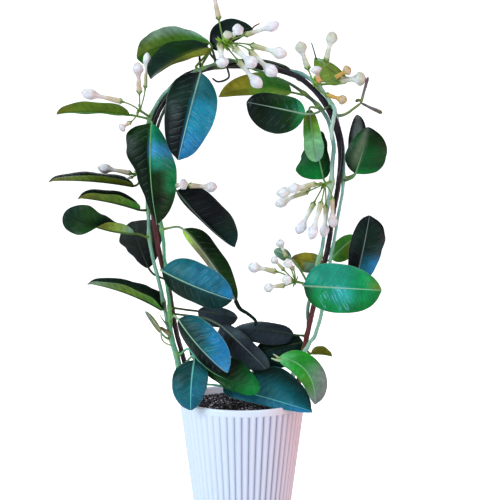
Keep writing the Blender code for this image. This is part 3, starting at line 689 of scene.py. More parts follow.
def barkFinish(name, roughness, streak, dark, ringColour=None):
    material, shader, w = newFinish(name, Specular_IOR_Level=0.4)
    turn = w.times(w.mark("aroundStem"), 2 * math.pi)
    cosine, sine = w.calc("COSINE", turn), w.calc("SINE", turn)
    along, swell = w.mark("alongStem"), w.mark("swell")
    broad = w.grain(w.join(cosine, sine, w.times(along, streak)), 1.3, 3.0, 0.6)
    fine = w.join(w.times(cosine, 4.0), w.times(sine, 4.0), w.times(along, streak * 2.5))
    thin = w.grain(fine, 1.6, 4.0, 0.6)
    shade = w.plus(w.times(broad, 0.6), w.times(thin, 0.4))
    colour = w.vector("SCALE", w.mark("tone", "Color"), w.step(shade, 0.36, 0.64, 0.55, 1.5))
    colour = w.mix(w.step(broad, 0.5, 0.62, 0.0, 0.55), colour, dark)
    if ringColour:
        colour = w.mix(w.times(swell, 0.35), colour, ringColour)
    rings = w.times(w.calc("SINE", w.times(along, 2400.0)), swell, 0.15)
    dress(w, shader, colour, w.step(thin, 0.3, 0.7, roughness - 0.1, roughness + 0.12),
          w.bump(w.plus(shade, rings), 0.4, 0.0006))
    return material


def stemRow(points, fine, sizes, tones, roots=()):  # one line of a stem, swollen where leaves root
    line = smoothLine(points, fine)
    radii, swells = [], []
    for index, point in enumerate(line):
        swell = max([fading(point, root, stems["swellReach"]) for root in roots] or [0])
        ends = min(index, len(line) - 1 - index)
        rounding = 0.5 if ends == 0 else 0.87 if ends == 1 else 1.0
        radii.append(evenly(sizes, index / (len(line) - 1)) * (1 + stems["swell"] * swell) * rounding)
        swells.append(swell)
    return line, radii, swells, tones


def stemPiece(name, rows, finish, tree, seed, lumps):
    points, edges, girth, swell, tone = [], [], [], [], []
    for line, radii, swells, tones in rows:
        edges += [(len(points) + k, len(points) + k + 1) for k in range(len(line) - 1)]
        points += line
        girth += [radius * mm for radius in radii]
        swell += swells
        tone += [alongStops(tones, k / (len(line) - 1)) for k in range(len(line))]
    piece = meshPiece(name, points, [], {"girth": girth, "swell": swell, "tone": tone}, edges)
    return grow(piece, tree, Finish=finish, Step=stems["step"], Sides=stems["sides"], Lumps=lumps, Seed=seed)


def buildStems():  # gives the middle line of each vine
    tree = stemTree()
    rows = [stemRow([Vector((x, 0, z)) for x, z in hoopLine], stems["hoopFine"], *stemLooks["hoop"]),
            stemRow(strandPoints(), stems["vineFine"], (strand["radius"],) * 2, strand["tones"])]
    bark = barkFinish("hoopCane", 0.36, 28.0, "barkBlack")
    seat(stemPiece("caneHoop", rows, bark, tree, 3, stems["hoopLumps"]), "hoop")
    lines = {}
    for index, (name, (side, stations)) in enumerate(vineWays.items()):
        line = vinePoints(side, stations)
        lines[name] = line
        roots = [nearest(line, Vector(near)) for stem, near, *_ in [*leaves.values(), *umbels.values()]
                 if stem == name]
        rows = [stemRow(line, stems["vineFine"], *stemLooks[name], roots)]
        rows += [stemRow([Vector(place) for place in points], stems["twigFine"], sizes, tones)
                 for stem, points, sizes, tones in twigs if stem == name]
        bark = barkFinish(name + "Bark", 0.42, 30.0, "vineShade", "nodeGreen")
        seat(stemPiece(name + "Stem", rows, bark, tree, 11 + index, stems["lumps"]), name)
    return lines


def stemFoot(line, near, towards):  # a stem's middle, a place on its skin towards another, and the way there
    index = min(range(len(line)), key=lambda k: (line[k] - near).length)
    before, after = line[max(index - 1, 0)], line[min(index + 1, len(line) - 1)]
    direction = (after - before).normalized()
    way = towards - line[index]
    way -= direction * way.dot(direction)
    way.normalize()
    return line[index], line[index] + way * (stems["vineRadius"] + stems["clearance"]), way


leafMaking = {
    "along": 60, "across": 21, "thick": 0.85, "edgeThick": 0.22, "petiole": 1.15, "petioleSides": 12,
    "bulge": 0.07, "softFold": 0.05, "wave": 0.035, "roll": 0.5, "rollFrom": 0.8, "groove": 0.35,
    "grooveReach": 0.9, "tipCurl": 1.6, "curlFrom": 0.9, "veinGap": 7.5, "veinSlant": 0.525, "round": 0.12,
    "petioleStart": 2.2, "petioleKnee": 0.28, "petioleFine": 1.6, "flare": 0.45, "flareReach": 4.0,
    "ribEnd": 0.93, "tailFine": 1.0, "tailSides": 8, "litRise": 9, "footHalf": 1.0, "thinBelow": 4.0,
    "grooveBelow": 6, "steepFold": 20, "steepRoll": 0.4, "stalkFaint": 0.92, "stalkTaper": 0.72,
    "seed": 100,
}
bladeWidths = [
    (0.0, 0.09), (0.025, 0.42), (0.12, 0.78), (0.3, 0.98), (0.52, 0.99), (0.73, 0.84), (0.88, 0.57),
    (0.955, 0.28), (0.982, 0.085), (1.0, 0.02),
]

# Each leaf: the stem it grows from, a place near its foot there, the blade's foot and tip, its width, then
# how far its face is lifted from the viewer to the sky, how far its middle bows out, how its halves fold
# (above 0 like a gutter, below 0 like a roof), how it twists to its tip and how it bends in its own plane.
leaves = {
    "leaf_01": ("vine_left_outer", (-42, 0, 468), (-33, 10, 487), (-108, 14, 472), 52, 145, 14, -14, 0, 0),
    "leaf_02": ("vine_left_outer", (-48, 0, 466), (-33, -8, 480), (-90, -26, 449), 42, 36, 3, -14, 0, 3),
    "leaf_03": ("vine_left_outer", (-24, 6, 463), (-31, 16, 482), (12, 28, 503), 40, 22, 10, -12, 0, 0),
    "leaf_04": ("vine_left_inner", (-50, 0, 456), (-41, -20, 455), (-63, -32, 368), 54, 0, 10, -20, 0, 0),
    "leaf_05": ("vine_left_outer", (-94, 0, 402), (-90, -16, 405), (-85, -17, 303), 52, 12, 8, -22, 0, 5),
    "leaf_06": ("vine_left_outer", (-94, 0, 408), (-114, 2, 414), (-186, -8, 416), 36, 108, 2, 16, 0, 0),
    "leaf_07": ("vine_left_outer", (-97, 0, 350), (-110, 2, 342), (-194, -14, 348), 42, 84, 2.5, 26, 0, 0),
    "leaf_08": ("vine_left_outer", (-97, 0, 318), (-104, 0, 318), (-165, -14, 331), 38, 86, 2, 34, 0, 0),
    "leaf_09": ("vine_left_outer", (-98, 0, 291), (-109, -10, 294.6), (-177, -24, 316), 37, 90, -4.5, -8,
                -85, 0),
    "leaf_11": ("vine_left_inner", (-87, 0, 246), (-97, 15, 257), (-116, 22, 305), 46, 0, 5, -12, 0, 0),
    "leaf_12": ("vine_left_outer", (-83, 0, 222), (-81, -6, 216), (-156, -16, 245), 40, 86, 4, 34, 0, 0),
    "leaf_13": ("vine_left_outer", (-74, -6, 186), (-82, -10, 193), (-98, -16, 217), 6, 30, 2, -10, 0, 0),
    "leaf_14": ("vine_left_inner", (-86, 0, 340), (-67, 10, 337), (-8, 30, 276), 46, -25, 6, -24, 0, 0),
    "leaf_15": ("vine_left_inner", (-80, 0, 298), (-60, 6, 298), (-5, -4, 223), 44, 42, 5, -12, 0, 1),
    "leaf_16": ("vine_left_inner", (-78, 0, 255), (-80, -22, 258), (-9, -42, 231), 50, -10, 8, -22, 0,
                -0.5),
    "leaf_17": ("vine_left_inner", (-66, 0, 206), (-63, -42, 212), (-14, -60, 161), 46, -20, 8, -22, 0, -1),
    "leaf_18": ("vine_left_outer", (-56, -4, 156), (-47, -47, 172), (-50, -61, 124), 36, 0, 8, -14, 0, 1),
    "leaf_19": ("vine_left_inner", (-57, 0, 172), (-53, -16, 177), (18, -57, 146), 46, 40, 3, -12, 0, 12),
    "leaf_20": ("vine_left_inner", (-62, 0, 212), (-22, 2, 199), (28, -8, 152), 36, 15, 5, -14, 0, 0),
    "leaf_21": ("vine_right_inner", (64, 6, 186), (53, 12, 188), (-10, 18, 193), 32, 48, 4, -16, 0, 0),
    "leaf_22": ("vine_right_inner", (60, 6, 172), (71, 8, 169), (93.5, 6, 166.5), 24, 150, 2, -10, 0, 0),
    "leaf_23": ("vine_right_outer", (58, 0, 160), (37, -34, 172), (72, -60, 130), 50, 14, 8, -14, 0, -12),
    "leaf_24": ("vine_left_inner", (-52, -4, 140), (-19, -23, 141), (70, -50, 121), 50, 48, 5, -8, 0, 3),
    "leaf_25": ("vine_right_outer", (82, 0, 250), (62, -24, 243), (139, -36, 240), 54, 6, 6, -12, 0, 0),
    "leaf_26": ("vine_right_inner", (86, 4, 262), (116, -2, 245.1), (129.7, 1, 312.8), 38, 0, 6, -12, 0, 0),
    "leaf_27": ("vine_right_inner", (86, 4, 270), (92, 20, 266), (119, 24, 290), 26, 20, 3, -10, 0, 0),
    "leaf_28": ("vine_right_inner", (80, 4, 266), (80, 12, 262), (50, 12, 268), 22, 0, 3, -10, 0, 0),
    "leaf_29": ("vine_right_inner", (74, 0, 240), (50, 4, 268), (32, 2, 277), 13, 30, 2, -8, 0, 0),
    "leaf_30": ("vine_right_outer", (104, 0, 347), (114, -12, 355), (127, -14, 402), 42, 0, 6, -14, 0, 0),
    "leaf_31": ("vine_right_inner", (74, 0, 418), (67, -10, 419), (74, -16, 366), 26, 180, 4, -10, 0, 0),
    "leaf_32": ("vine_right_inner", (92, 0, 344), (83, 8, 349), (71, 14, 400), 38, 0, 5, -14, 0, 0),
    "leaf_33": ("vine_right_outer", (86, 0, 420), (63, -18, 414), (4, -22, 426), 46, 0, 6, -14, 0, 0),
    "leaf_34": ("vine_right_inner", (62, 0, 434), (50, 10, 437), (-25, 18, 433), 38, 20, 6, -14, 0, 4),
    "leaf_35": ("vine_right_outer", (76, 2, 440), (106, 12, 450), (73, 14, 472), 30, 180, 3, -14, 0, 0),
    "leaf_36": ("vine_left_inner", (-67, 0, 218), (-46, 16, 212), (-4, 16, 205), 26, 20, 4, -12, 0, 0),
    "leaf_37": ("vine_right_outer", (104, 0, 352), (117, 6, 358), (117, 8, 415), 19, 0, 4, -12, 0, 0),
    "leaf_38": ("vine_right_inner", (62, 6, 176), (63, 13, 180), (12, 13, 167), 30, 20, 4, -12, 0, 0),
}

# What sets single leaves apart: the width of their left and right halves at even steps from foot to tip, how
# round their end is, where along the blade its twist lies, where a crease closes the halves and how steeply
# (begins, full, last, ends, degrees), where a painted highlight streaks its veins (from, to and how strongly,
# on the left and on the right), the stalk's colour, and a drawn-out tip.
leafShapes = {
    "leaf_01": {"left": (0.5, 0.7, 0.87, 0.93, 1.08, 1.4), "right": (0.35, 0.35, 0.5, 0.9, 1.0),
                "round": 0.5},
    "leaf_02": {"left": (0.45, 0.25, 0.1, 0.08), "right": (1.45, 1.6, 1.45), "round": 0.5},
    "leaf_03": {"left": (1.1, 1.05, 1.0), "right": (0.55, 0.42, 0.3), "round": 0.5,
                "tail": [(13, 28, 505.3), (17.7, 28, 507.8)], "tailTone": "barkRed", "tailRadius": 0.9},
    "leaf_04": {"left": (0.85, 0.98, 0.98, 0.92, 1.0), "right": (1.3, 1.08, 0.97, 0.93, 0.9), "round": 0.3,
                "paintedGlints": (0.35, 0.95, 0.45, 0.0), "stalk": "stalkDark"},
    "leaf_05": {"left": (0.75, 1.15, 1.25), "right": (1.5, 1.0, 0.55, 0.33, 0.15), "round": 0.2,
                "paintedGlints": (0.12, 0.5, 0.5, 0.0)},
    "leaf_06": {"left": (1.0, 1.0, 1.1), "right": (1.0, 1.1, 1.5), "round": 0.7},
    "leaf_07": {"left": (0.9, 0.85, 0.8), "right": (0.9, 0.8, 0.8), "round": 0.4},
    "leaf_09": {"left": (0.6, 0.68, 0.78, 0.95, 1.25), "right": (0.6, 0.55, 0.9, 1.15, 1.15), "round": 0.95,
                "twist": (0.1, 0.85), "crease": (-0.2, -0.1, 0.35, 1.0, 75)},
    "leaf_11": {"left": (0.3, 0.42, 0.62, 0.95, 1.0), "right": (0.6, 0.85, 1.1, 1.4, 1.9), "round": 0.5},
    "leaf_12": {"left": (0.45, 0.95, 1.0, 0.97, 0.9), "right": (1.7, 1.2, 0.9, 0.85, 0.9), "round": 0.3},
    "leaf_14": {"left": (1.1, 1.1, 1.1, 1.16, 1.2), "right": (0.3, 0.12, 0.1), "round": 0.3},
    "leaf_15": {"left": (1.3, 1.05, 0.95), "right": (0.3, 0.2, 0.12), "round": 0.2, "tailTone": "pine",
                "tail": [(-2, -3, 217), (6, -1, 211.5), (13.5, 0, 204.5), (13.5, 0, 199)],
                "tailRadius": 2.3},
    "leaf_16": {"left": (0.95, 0.95, 0.95), "right": (0.78, 0.8, 1.05), "round": 0.7,
                "paintedGlints": (0.2, 0.9, 0.35, 0.0)},
    "leaf_17": {"left": (0.9, 1.0, 1.1), "right": (0.55, 0.6, 0.75), "round": 0.4,
                "paintedGlints": (0.3, 0.95, 0.3, 0.0)},
    "leaf_18": {"left": (0.92, 0.93, 0.88, 0.8, 0.8), "right": (1.15, 1.1, 1.1), "round": 0.7,
                "paintedGlints": (0.3, 0.9, 0.25, 0.15)},
    "leaf_19": {"left": (0.8, 1.05, 1.3, 1.35, 1.2), "right": (0.2, 0.15, 0.25, 0.45, 0.8), "round": 0.9},
    "leaf_20": {"left": (0.6, 0.6, 0.8), "right": (1.0, 0.9, 0.8), "round": 0.4},
    "leaf_21": {"left": (1.0, 1.0, 1.0), "right": (1.0, 0.9, 0.9), "round": 0.4},
    "leaf_22": {"left": (0.15, 0.1, 0.1), "right": (1.1, 1.0, 0.9)},
    "leaf_23": {"left": (0.8, 0.74, 0.8), "right": (0.4, 0.42, 0.4), "round": 0.4},
    "leaf_24": {"left": (1.35, 1.8, 1.75), "right": (0.5, 0.34, 0.3), "paintedGlints": (0.4, 0.95, 0.0, 0.4)},
    "leaf_25": {"left": (1.0, 0.9, 0.8), "right": (0.9, 0.95, 1.05), "round": 0.45,
                "paintedGlints": (0.16, 0.66, 0.0, 1.0)},
    "leaf_26": {"left": (0.6, 0.68, 0.74, 0.78, 0.85), "right": (1.0, 0.95, 1.05, 1.27, 1.6), "round": 0.5},
    "leaf_27": {"left": (0.8, 0.8, 0.9), "right": (0.9, 1.0, 1.0)},
    "leaf_28": {"left": (1.1, 1.1, 0.8), "right": (1.0, 0.8, 0.6), "round": 0.1},
    "leaf_30": {"left": (0.7, 0.78, 0.72, 0.6, 0.5), "right": (1.3, 1.25, 1.22, 1.24, 1.3), "round": 0.95},
    "leaf_31": {"left": (0.55, 0.62, 0.7, 0.9, 1.05), "right": (0.55, 0.62, 0.7, 0.9, 1.05), "round": 0.8},
    "leaf_32": {"left": (1.5, 1.45, 0.95, 0.6, 0.5), "right": (0.6, 0.6, 0.58, 0.77, 1.2), "round": 0.5},
    "leaf_33": {"left": (1.0, 1.12, 1.1), "right": (0.7, 0.62, 0.7), "round": 0.7,
                "paintedGlints": (0.0, 0.4, 0.2, 0.3)},
    "leaf_34": {"left": (0.4, 0.35, 0.3), "right": (0.9, 1.1, 1.0)},
    "leaf_35": {"left": (0.3, 0.4, 0.3), "right": (1.0, 1.0, 0.85),
                "tail": [(73, 14, 479), (70.5, 14, 487)], "tailTone": "ink", "tailRadius": 0.75},
    "leaf_36": {"left": (0.6, 0.6, 0.6), "right": (1.0, 1.1, 1.1), "round": 0.6},
    "leaf_37": {"left": (1.0, 1.0, 0.8), "right": (1.0, 1.05, 1.2), "round": 0.6},
    "leaf_38": {"left": (1.1, 1.42, 1.4), "right": (1.0, 1.0, 1.0)},
}

# Each leaf's colours from foot to tip: the half on the left and the half on the right of its upper face,
# looking from foot to tip, then its midrib, and its underside's two halves, where one row does for both and
# none is leafUnder. After a > come the colours nearer the edge. The rows hold painted light as well as the
# leaves' own colours: the blue and cyan stops are painted reflections of the sky on the half turned up to it,
# grey stops on dark leaves are painted sheen, the near-black stops are partly the leaves' own dark green and
# partly painted shade, and the pale lime under leaf_12 is a painted highlight.
leafTones = {
    "leaf_01": ("forest leafGreen", "forest leafGreen", "moss",
                "leafGreen spring lime > dew dew dew spring", "moss spring spring leafGreen"),
    "leaf_02": ("olive olive darkOlive darkOlive fog", "pine bottle pine pine", "olive darkOlive fog",
                "olive khaki", "olive olive"),
    "leaf_03": ("ink pine", "ink pine", "smoke", "pine"),
    "leaf_04": ("teal teal lagoon lagoon azure azure", "ink pine ink ink", "ribPale"),
    "leaf_05": ("jade sea sky sea bottle bottle night bottle bottle > jade sea sky sea jade jade forest "
                "bottle bottle", "bottle night night night", "ribGreen"),
    "leaf_06": ("pine moss", "pine moss", "leafGreen", "fern fern fern olive", "fern leafGreen fern"),
    "leaf_07": ("pine night pine", "pine night pine", "smoke", "olive fern olive"),
    "leaf_08": ("pine night pine", "pine night pine", "smoke", "leafGreen fern olive"),
    "leaf_09": ("pine pine moss pine", "pine pine moss pine", "pine", "sage lime olive darkOlive pine"),
    "leaf_11": ("coal smoke", "ink smoke", "smoke", "darkOlive ink"),
    "leaf_12": ("night pine", "night pine", "smoke", "leafGreen fern leafUnderPale", "leafGreen fern lime"),
    "leaf_13": ("khaki fog", "khaki olive", "ribPale", "khaki"),
    "leaf_14": ("ink coal ink pine deepTeal", "moss ink ink coal", "ribGrey"),
    "leaf_15": ("bottle night bottle moss bottle", "freshGreen khaki fog fog", "ribPale",
                "sage leafUnderPale sage"),
    "leaf_16": ("teal teal petrol petrol azure", "pine pine deepTeal deepTeal", "ribPale"),
    "leaf_17": ("deepTeal deepTeal deepTeal teal azure sky > deepTeal teal petrol azure azure sky",
                "ink pine ink ink", "ribPale"),
    "leaf_18": ("deepTeal teal petrol petrol", "deepTeal deepTeal teal petrol", "ribAqua"),
    "leaf_19": ("bottle night night night forest emerald", "bottle night moss forest emerald",
                "ribAqua ribGreen forest emerald"),
    "leaf_20": ("slate steel slate steel steel", "slate coal slate steel steel", "ribGrey"),
    "leaf_21": ("slate slate", "slate steel", "smoke", "darkOlive"),
    "leaf_22": ("olive darkOlive", "olive darkOlive", "olive", "olive"),
    "leaf_23": ("freshLeaf grass greyGreen fog > grass grass fog fog", "freshLeaf grass leafGreen fog",
                "ribGreen"),
    "leaf_24": ("deepTeal teal teal teal > deepTeal pine deepTeal deepTeal", "teal petrol petrol azure",
                "ribAqua"),
    "leaf_25": ("sea sea sea jade fern > sea sea sea jade leafGreen",
                "forest jade turquoise jade emerald > forest emerald jade emerald emerald", "ribPale"),
    "leaf_26": ("ink ink pine ink", "azure petrol pine pine ink > azure azure deepTeal pine ink",
                "ribGrey"),
    "leaf_27": ("leafGreen leafGreen", "leafGreen olive", "ribGreen", "spring"),
    "leaf_28": ("sage sage mustard mustard", "sage mustard mustard khaki", "olive", "olive"),
    "leaf_29": ("greyGreen sage", "greyGreen sage", "ribPale", "greyGreen"),
    "leaf_30": ("bottle mossGrey mossGrey smoke > night bottle forest bottle",
                "emerald forest forest bottle night", "ribGreen ash smoke"),
    "leaf_31": ("leafGreen", "leafGreen", "sage", "olive leafGreen mint mint", "olive spring mint sage"),
    "leaf_32": ("emerald forest bottle", "forest bottle pine", "ribGreen"),
    "leaf_33": ("emerald bottle pine night ink", "jade forest bottle night ink", "ribPale > ribGrey"),
    "leaf_34": ("lime spring olive mustard", "leafGreen leafGreen mustard mustard", "spring olive"),
    "leaf_35": ("spring leafGreen", "spring leafGreen", "lime", "olive lime dew", "lime lime spring"),
    "leaf_36": ("slate steel", "slate slate", "smoke", "darkOlive"),
    "leaf_37": ("ash ash > night ink", "ash ash > ink ink", "ash", "smoke"),
    "leaf_38": ("pine deepTeal", "pine pine", "smoke", "darkOlive"),
}


def leafFinish():
    material, shader, w = newFinish("leafSkin", Specular_IOR_Level=0.12)
    place = w.place()
    ribTone, rim, blade = w.mark("ribTone", "Color"), w.mark("rimShare"), w.mark("blade")
    facing = w.step(w.mark("upper"), 0.3, 0.7)
    cells = w.grain(place, 1000.0, 3.0, 0.6)
    away = w.calc("ABSOLUTE", w.mark("acrossMm"))
    ribWide = w.plus(0.85, w.times(w.mark("alongShare"), -0.6))
    midrib = w.times(w.step(w.calc("DIVIDE", away, ribWide), 0.5, 1.3, 1.0, 0.0), blade)
    warp = w.times(w.calc("SUBTRACT", w.grain(place, 130.0, 3.0), 0.5), 0.7)
    phase = w.times(w.plus(w.mark("veinPhase"), warp), 2 * math.pi)
    inside = w.times(w.step(away, 0.8, 4.0), w.step(rim, 0.7, 0.97, 1.0, 0.0), blade)
    quilt = w.times(w.calc("COSINE", phase), inside)  # -1 along the side veins
    vein = w.step(quilt, -1.0, -0.86, 1.0, 0.0)
    strength = w.step(w.grain(place, 90.0, 2.0), 0.35, 0.65, 0.2, 1.0)
    patches = w.step(w.grain(place, 60.0, 5.0, 0.65), 0.25, 0.75, 0.66, 1.2)
    ribbed = w.plus(1.0, w.times(quilt, strength, 0.13))
    mottle = w.times(patches, w.step(cells, 0.3, 0.7, 0.86, 1.14), ribbed)
    base = w.vector("SCALE", w.mark("tone", "Color"), mottle)
    base = w.mix(w.times(vein, strength, w.plus(0.3, w.times(facing, -0.2))), base, ribTone)
    # painted highlight: pale cyan glint along the side veins where the blade is marked lit
    lit = w.times(w.mark("lit"), w.step(w.grain(place, 95.0, 2.0), 0.38, 0.6))
    streak = w.step(w.calc("ABSOLUTE", w.plus(quilt, 0.35)), 0.0, 0.55, 0.75, 0.0)
    base = w.mix(w.times(lit, streak), base, "glint")
    base = w.mix(w.times(w.step(rim, 0.955, 1.0), blade, 0.22), base, ribTone)
    base = w.mix(w.times(midrib, 0.85), base, ribTone)
    gloss = w.step(w.grain(place, 70.0, 4.0), 0.3, 0.7, 0.0, 0.14)
    height = w.plus(w.times(quilt, 0.22), w.times(cells, 0.12), w.times(w.grain(place, 260.0, 3.0), 0.5))
    dress(w, shader, base, w.plus(0.52, w.times(facing, -0.18), gloss), w.bump(height, 0.45, 0.0012))
    return material


def leafFrame(foot, tip, lift):
    along = (tip - foot).normalized()
    face = Vector((0, -1, 0))
    face = (face - along * face.dot(along)).normalized()
    face.rotate(Quaternion(along, math.radians(lift if along.x < 0 else -lift)))
    return along, along.cross(face), face


def bladeShares(count):  # closer together near the foot and the tip
    return [0.45 * k / count + 0.55 * (0.5 - 0.5 * math.cos(math.pi * k / count)) for k in range(count + 1)]


def toneAt(names, share, outward):  # the colour at a share of the length, and at a share out to the edge
    inner, _, outer = names.partition(" > ")
    colour = alongStops(inner, share)
    return blend(colour, alongStops(outer, share), smooth((outward - 0.3) / 0.5)) if outer else colour


def halfWidth(shape, side, share, width):
    plain = throughTable(bladeWidths, share)
    full = math.sqrt(max(0.0, 1 - (share * 2 - 1) ** 2)) if share > 0.5 else plain
    plain += (full - plain) * shape.get("round", leafMaking["round"])
    return max(0.02, plain) * width / 2 * evenly(shape.get(side, (1.0, 1.0)), share)


def twistShare(shape, u):
    if "twist" not in shape:
        return u
    begin, end = shape["twist"]
    return smooth((u - begin) / (end - begin))


def folding(shape, fold, u):  # a crease closes the halves like a gutter
    if "crease" not in shape:
        return math.radians(fold)
    begin, full, last, end, steep = shape["crease"]
    closed = smooth((u - begin) / (full - begin)) * (1 - smooth((u - last) / (end - last)))
    return math.radians(fold + (steep - fold) * closed)


def bladeRing(leaf, u, point, side, out):  # a section of a blade, over its upper face and back under it
    make, shape = leafMaking, leaf["shape"]
    rise, reach = math.sin(folding(shape, leaf["fold"], u)), math.cos(folding(shape, leaf["fold"], u))
    litFrom, litTo, *litStrength = shape.get("paintedGlints", (0.0, 1.0, 0.0, 0.0))
    topLeft, topRight, rib, underLeft, underRight = leaf["tones"]
    rollShare = 1 if leaf["fold"] < make["steepFold"] else make["steepRoll"]
    tops, unders = [], []
    for k in range(make["across"]):
        s = math.sin(math.pi / 2 * (2 * k / (make["across"] - 1) - 1))  # -1 to 1 over the blade
        edge, hand = abs(s), "left" if s < 0 else "right"
        half = halfWidth(shape, hand, u, leaf["width"])
        if u == 0:
            half = max(half, make["footHalf"])
        thick = make["thick"] * min(1.0, half / make["thinBelow"])
        phase = leaf["phases"][hand] + 2 * math.pi * leaf["waves"][hand] * u
        lifted = rise * (math.sqrt(s * s + make["softFold"] ** 2) - make["softFold"]) * half
        lifted += make["bulge"] * half * (1 - (2 * edge - 1) ** 2)
        lifted += make["wave"] * half * s * s * math.sin(phase)
        lifted -= make["roll"] * max(0.0, edge - make["rollFrom"]) * 5 * rollShare
        lifted -= make["tipCurl"] * (max(0.0, u - make["curlFrom"]) * 10) ** 2
        thin = make["edgeThick"] / 2 + (thick - make["edgeThick"]) / 2 * (1 - edge ** 2.5)
        thin = min(thin, thick / 2 + 0.01)
        shallow = min(1.0, half / make["grooveBelow"])
        groove = make["groove"] * math.exp(-(s * half / make["grooveReach"]) ** 2) * shallow
        place = point + side * (s * half * reach) + out * lifted
        # lit marks where the painted glint highlight streaks the veins
        lit = smooth((u - litFrom) * make["litRise"]) * smooth((litTo - u) * make["litRise"])
        marks = {
            "acrossMm": s * half, "rimShare": edge, "alongShare": u, "blade": 1.0,
            "ribTone": toneAt(rib, u, u),
            "veinPhase": (u * leaf["length"] - edge * half * make["veinSlant"]) / make["veinGap"],
            "lit": lit * smooth((0.98 - edge) * 4) * litStrength[s >= 0],
        }
        # the halves' colour rows meet at the midrib; they carry painted reflections of the sky and painted
        # shade besides the leaf's own greens
        share = smooth(0.5 + s * 6)
        topTone = blend(toneAt(topLeft, u, edge), toneAt(topRight, u, edge), share)
        underTone = blend(toneAt(underLeft, u, edge), toneAt(underRight, u, edge), share)
        tops.append((place + out * (thin - groove), {**marks, "upper": 1.0, "tone": topTone}))
        unders.append((place - out * thin, {**marks, "upper": 0.0, "tone": underTone}))
    return tuple(zip(*tops, *unders[::-1]))


# The stalk runs from inside its stem to the blade, and on under the blade as its rib.
def addStalk(shell, leaf, line, middle, ribLine, across):
    make, rib = leafMaking, leaf["tones"][2]
    foot = middle[0]
    gap = (foot - nearest(line, leaf["near"])).length
    knee = foot - (middle[3] - foot).normalized() * gap * make["petioleKnee"]
    core, root, way = stemFoot(line, leaf["near"], knee)
    first = root + way * make["petioleStart"]
    stalk = smoothLine([core, root, first, bezier(first, knee, foot, 0.5), foot], make["petioleFine"])
    radius = make["petiole"]
    reach = make["flareReach"]
    radii = [radius * (1.0 + make["flare"] * fading(point, core, reach)) for point in stalk[:-1]]
    radii += [radius * (make["stalkFaint"] - make["stalkTaper"] * u) for _, _, u in ribLine]
    points = stalk[:-1] + [point - out * (0.35 + 0.25 * radius * (1 - u)) for point, out, u in ribLine]
    ribTone = toneAt(rib, 0.0, 0.0)
    dull = "ribGrey" in rib or "smoke" in rib
    stalkTone = linear(leaf["shape"].get("stalk", "stalkDark" if dull else "stalk"))
    plain = {
        "acrossMm": 30.0, "rimShare": 0.0, "alongShare": 0.5, "blade": 0.0, "veinPhase": 0.0,
        "ribTone": ribTone, "upper": 0.4, "lit": 0.0,
    }
    marks = [{**plain, "tone": blend(stalkTone, ribTone, 0.5 * min(1.0, k / (len(stalk) - 1)))}
             for k in range(len(points))]
    shell.tube(points, radii, make["petioleSides"], marks, across)
    return plain


def addTail(shell, shape, start, plain):
    line = smoothLine([start] + [Vector(place) for place in shape["tail"]], leafMaking["tailFine"])
    tone = linear(shape["tailTone"])
    radii = [shape["tailRadius"] * (1 - 0.35 * k / len(line)) for k in range(len(line))]
    shell.tube(line, radii, leafMaking["tailSides"], [{**plain, "tone": tone, "ribTone": tone}] * len(line))


def buildLeaf(name, line, finish, draw):
    near, foot, tip, width, lift, arch, fold, twist, bend = leaves[name][1:]
    foot, tip = Vector(foot), Vector(tip)
    *tops, rib = leafTones[name][:3]
    unders = leafTones[name][3:] or ("leafUnder",)
    leaf = {
        "near": Vector(near), "length": (tip - foot).length, "width": width, "fold": fold,
        "tones": [*tops, rib, unders[0], unders[-1]], "shape": leafShapes.get(name, {}),
        "phases": {"left": draw.uniform(0, 6.28), "right": draw.uniform(0, 6.28)},
        "waves": {"left": draw.uniform(1.2, 2.4), "right": draw.uniform(1.2, 2.4)},
    }
    along, across, face = leafFrame(foot, tip, lift)
    shares = bladeShares(leafMaking["along"])
    bows = [4 * u * (1 - u) for u in shares]
    middle = [foot.lerp(tip, u) + face * arch * bow + across * bend * bow for u, bow in zip(shares, bows)]
    tangents, sides = carriedFrames(middle, across)
    shell = Shell()
    rings, ribLine = [], []
    for u, point, tangent, carried in zip(shares, middle, tangents, sides):
        side = carried.copy()
        side.rotate(Quaternion(tangent, math.radians(twist * twistShare(leaf["shape"], u))))
        out = side.cross(tangent)
        rings.append(bladeRing(leaf, u, point, side, out))
        if u <= leafMaking["ribEnd"]:
            ribLine.append((point, out, u))
    shell.loft(rings)
    plain = addStalk(shell, leaf, line, middle, ribLine[2:], sides[0])
    if "tail" in leaf["shape"]:
        addTail(shell, leaf["shape"], tip - along * 3, plain)
    seat(shell.piece(name + "Blade", finish), name)


def buildLeaves(lines):
    finish = leafFinish()
    for index, (name, row) in enumerate(leaves.items()):
        buildLeaf(name, lines[row[0]], finish, random.Random(leafMaking["seed"] + index))


budMaking = {
    "sides": 20, "rings": 30, "pedicel": 0.75, "pedicelSides": 10, "pedicelFine": 1.2, "neck": 0.7,
    "neckFrom": 0.75, "kneeShare": 0.4, "peduncle": 1.25, "peduncleSides": 12, "peduncleFine": 1.2,
    "stalkStart": 2.0, "stemFlare": 0.4, "stemReach": 3.5, "hubFlare": 0.35, "hubReach": 3.0,
    "lobes": 5, "ridge": 0.075, "tubeRidge": 0.4, "turns": 0.42, "tubeEnd": 0.55, "headFrom": 0.56,
    "headRise": 0.16, "shortBud": 20, "shortSlim": 0.92, "bow": (-0.02, 0.03), "seed": 300,
    # each sepal: how far out and how far up the bud are its foot, its bend and its tip, and its width
    "sepalOut": (1.2, 2.9, 3.4), "sepalUp": (-0.6, 1.2, 2.7), "sepalWidth": 1.25,
    "bractSteps": 6, "bractThick": 0.32, "bractLength": 3.5, "bractWidth": (0.9, 1.4), "bractStray": 0.7,
}
budWidths = [
    (0.0, 2.0), (0.05, 2.7), (0.16, 2.65), (0.32, 2.3), (0.46, 2.0), (0.54, 2.2), (0.62, 3.3), (0.71, 5.0),
    (0.79, 5.3), (0.87, 4.7), (0.94, 3.2), (0.985, 1.5), (1.0, 0.3),
]

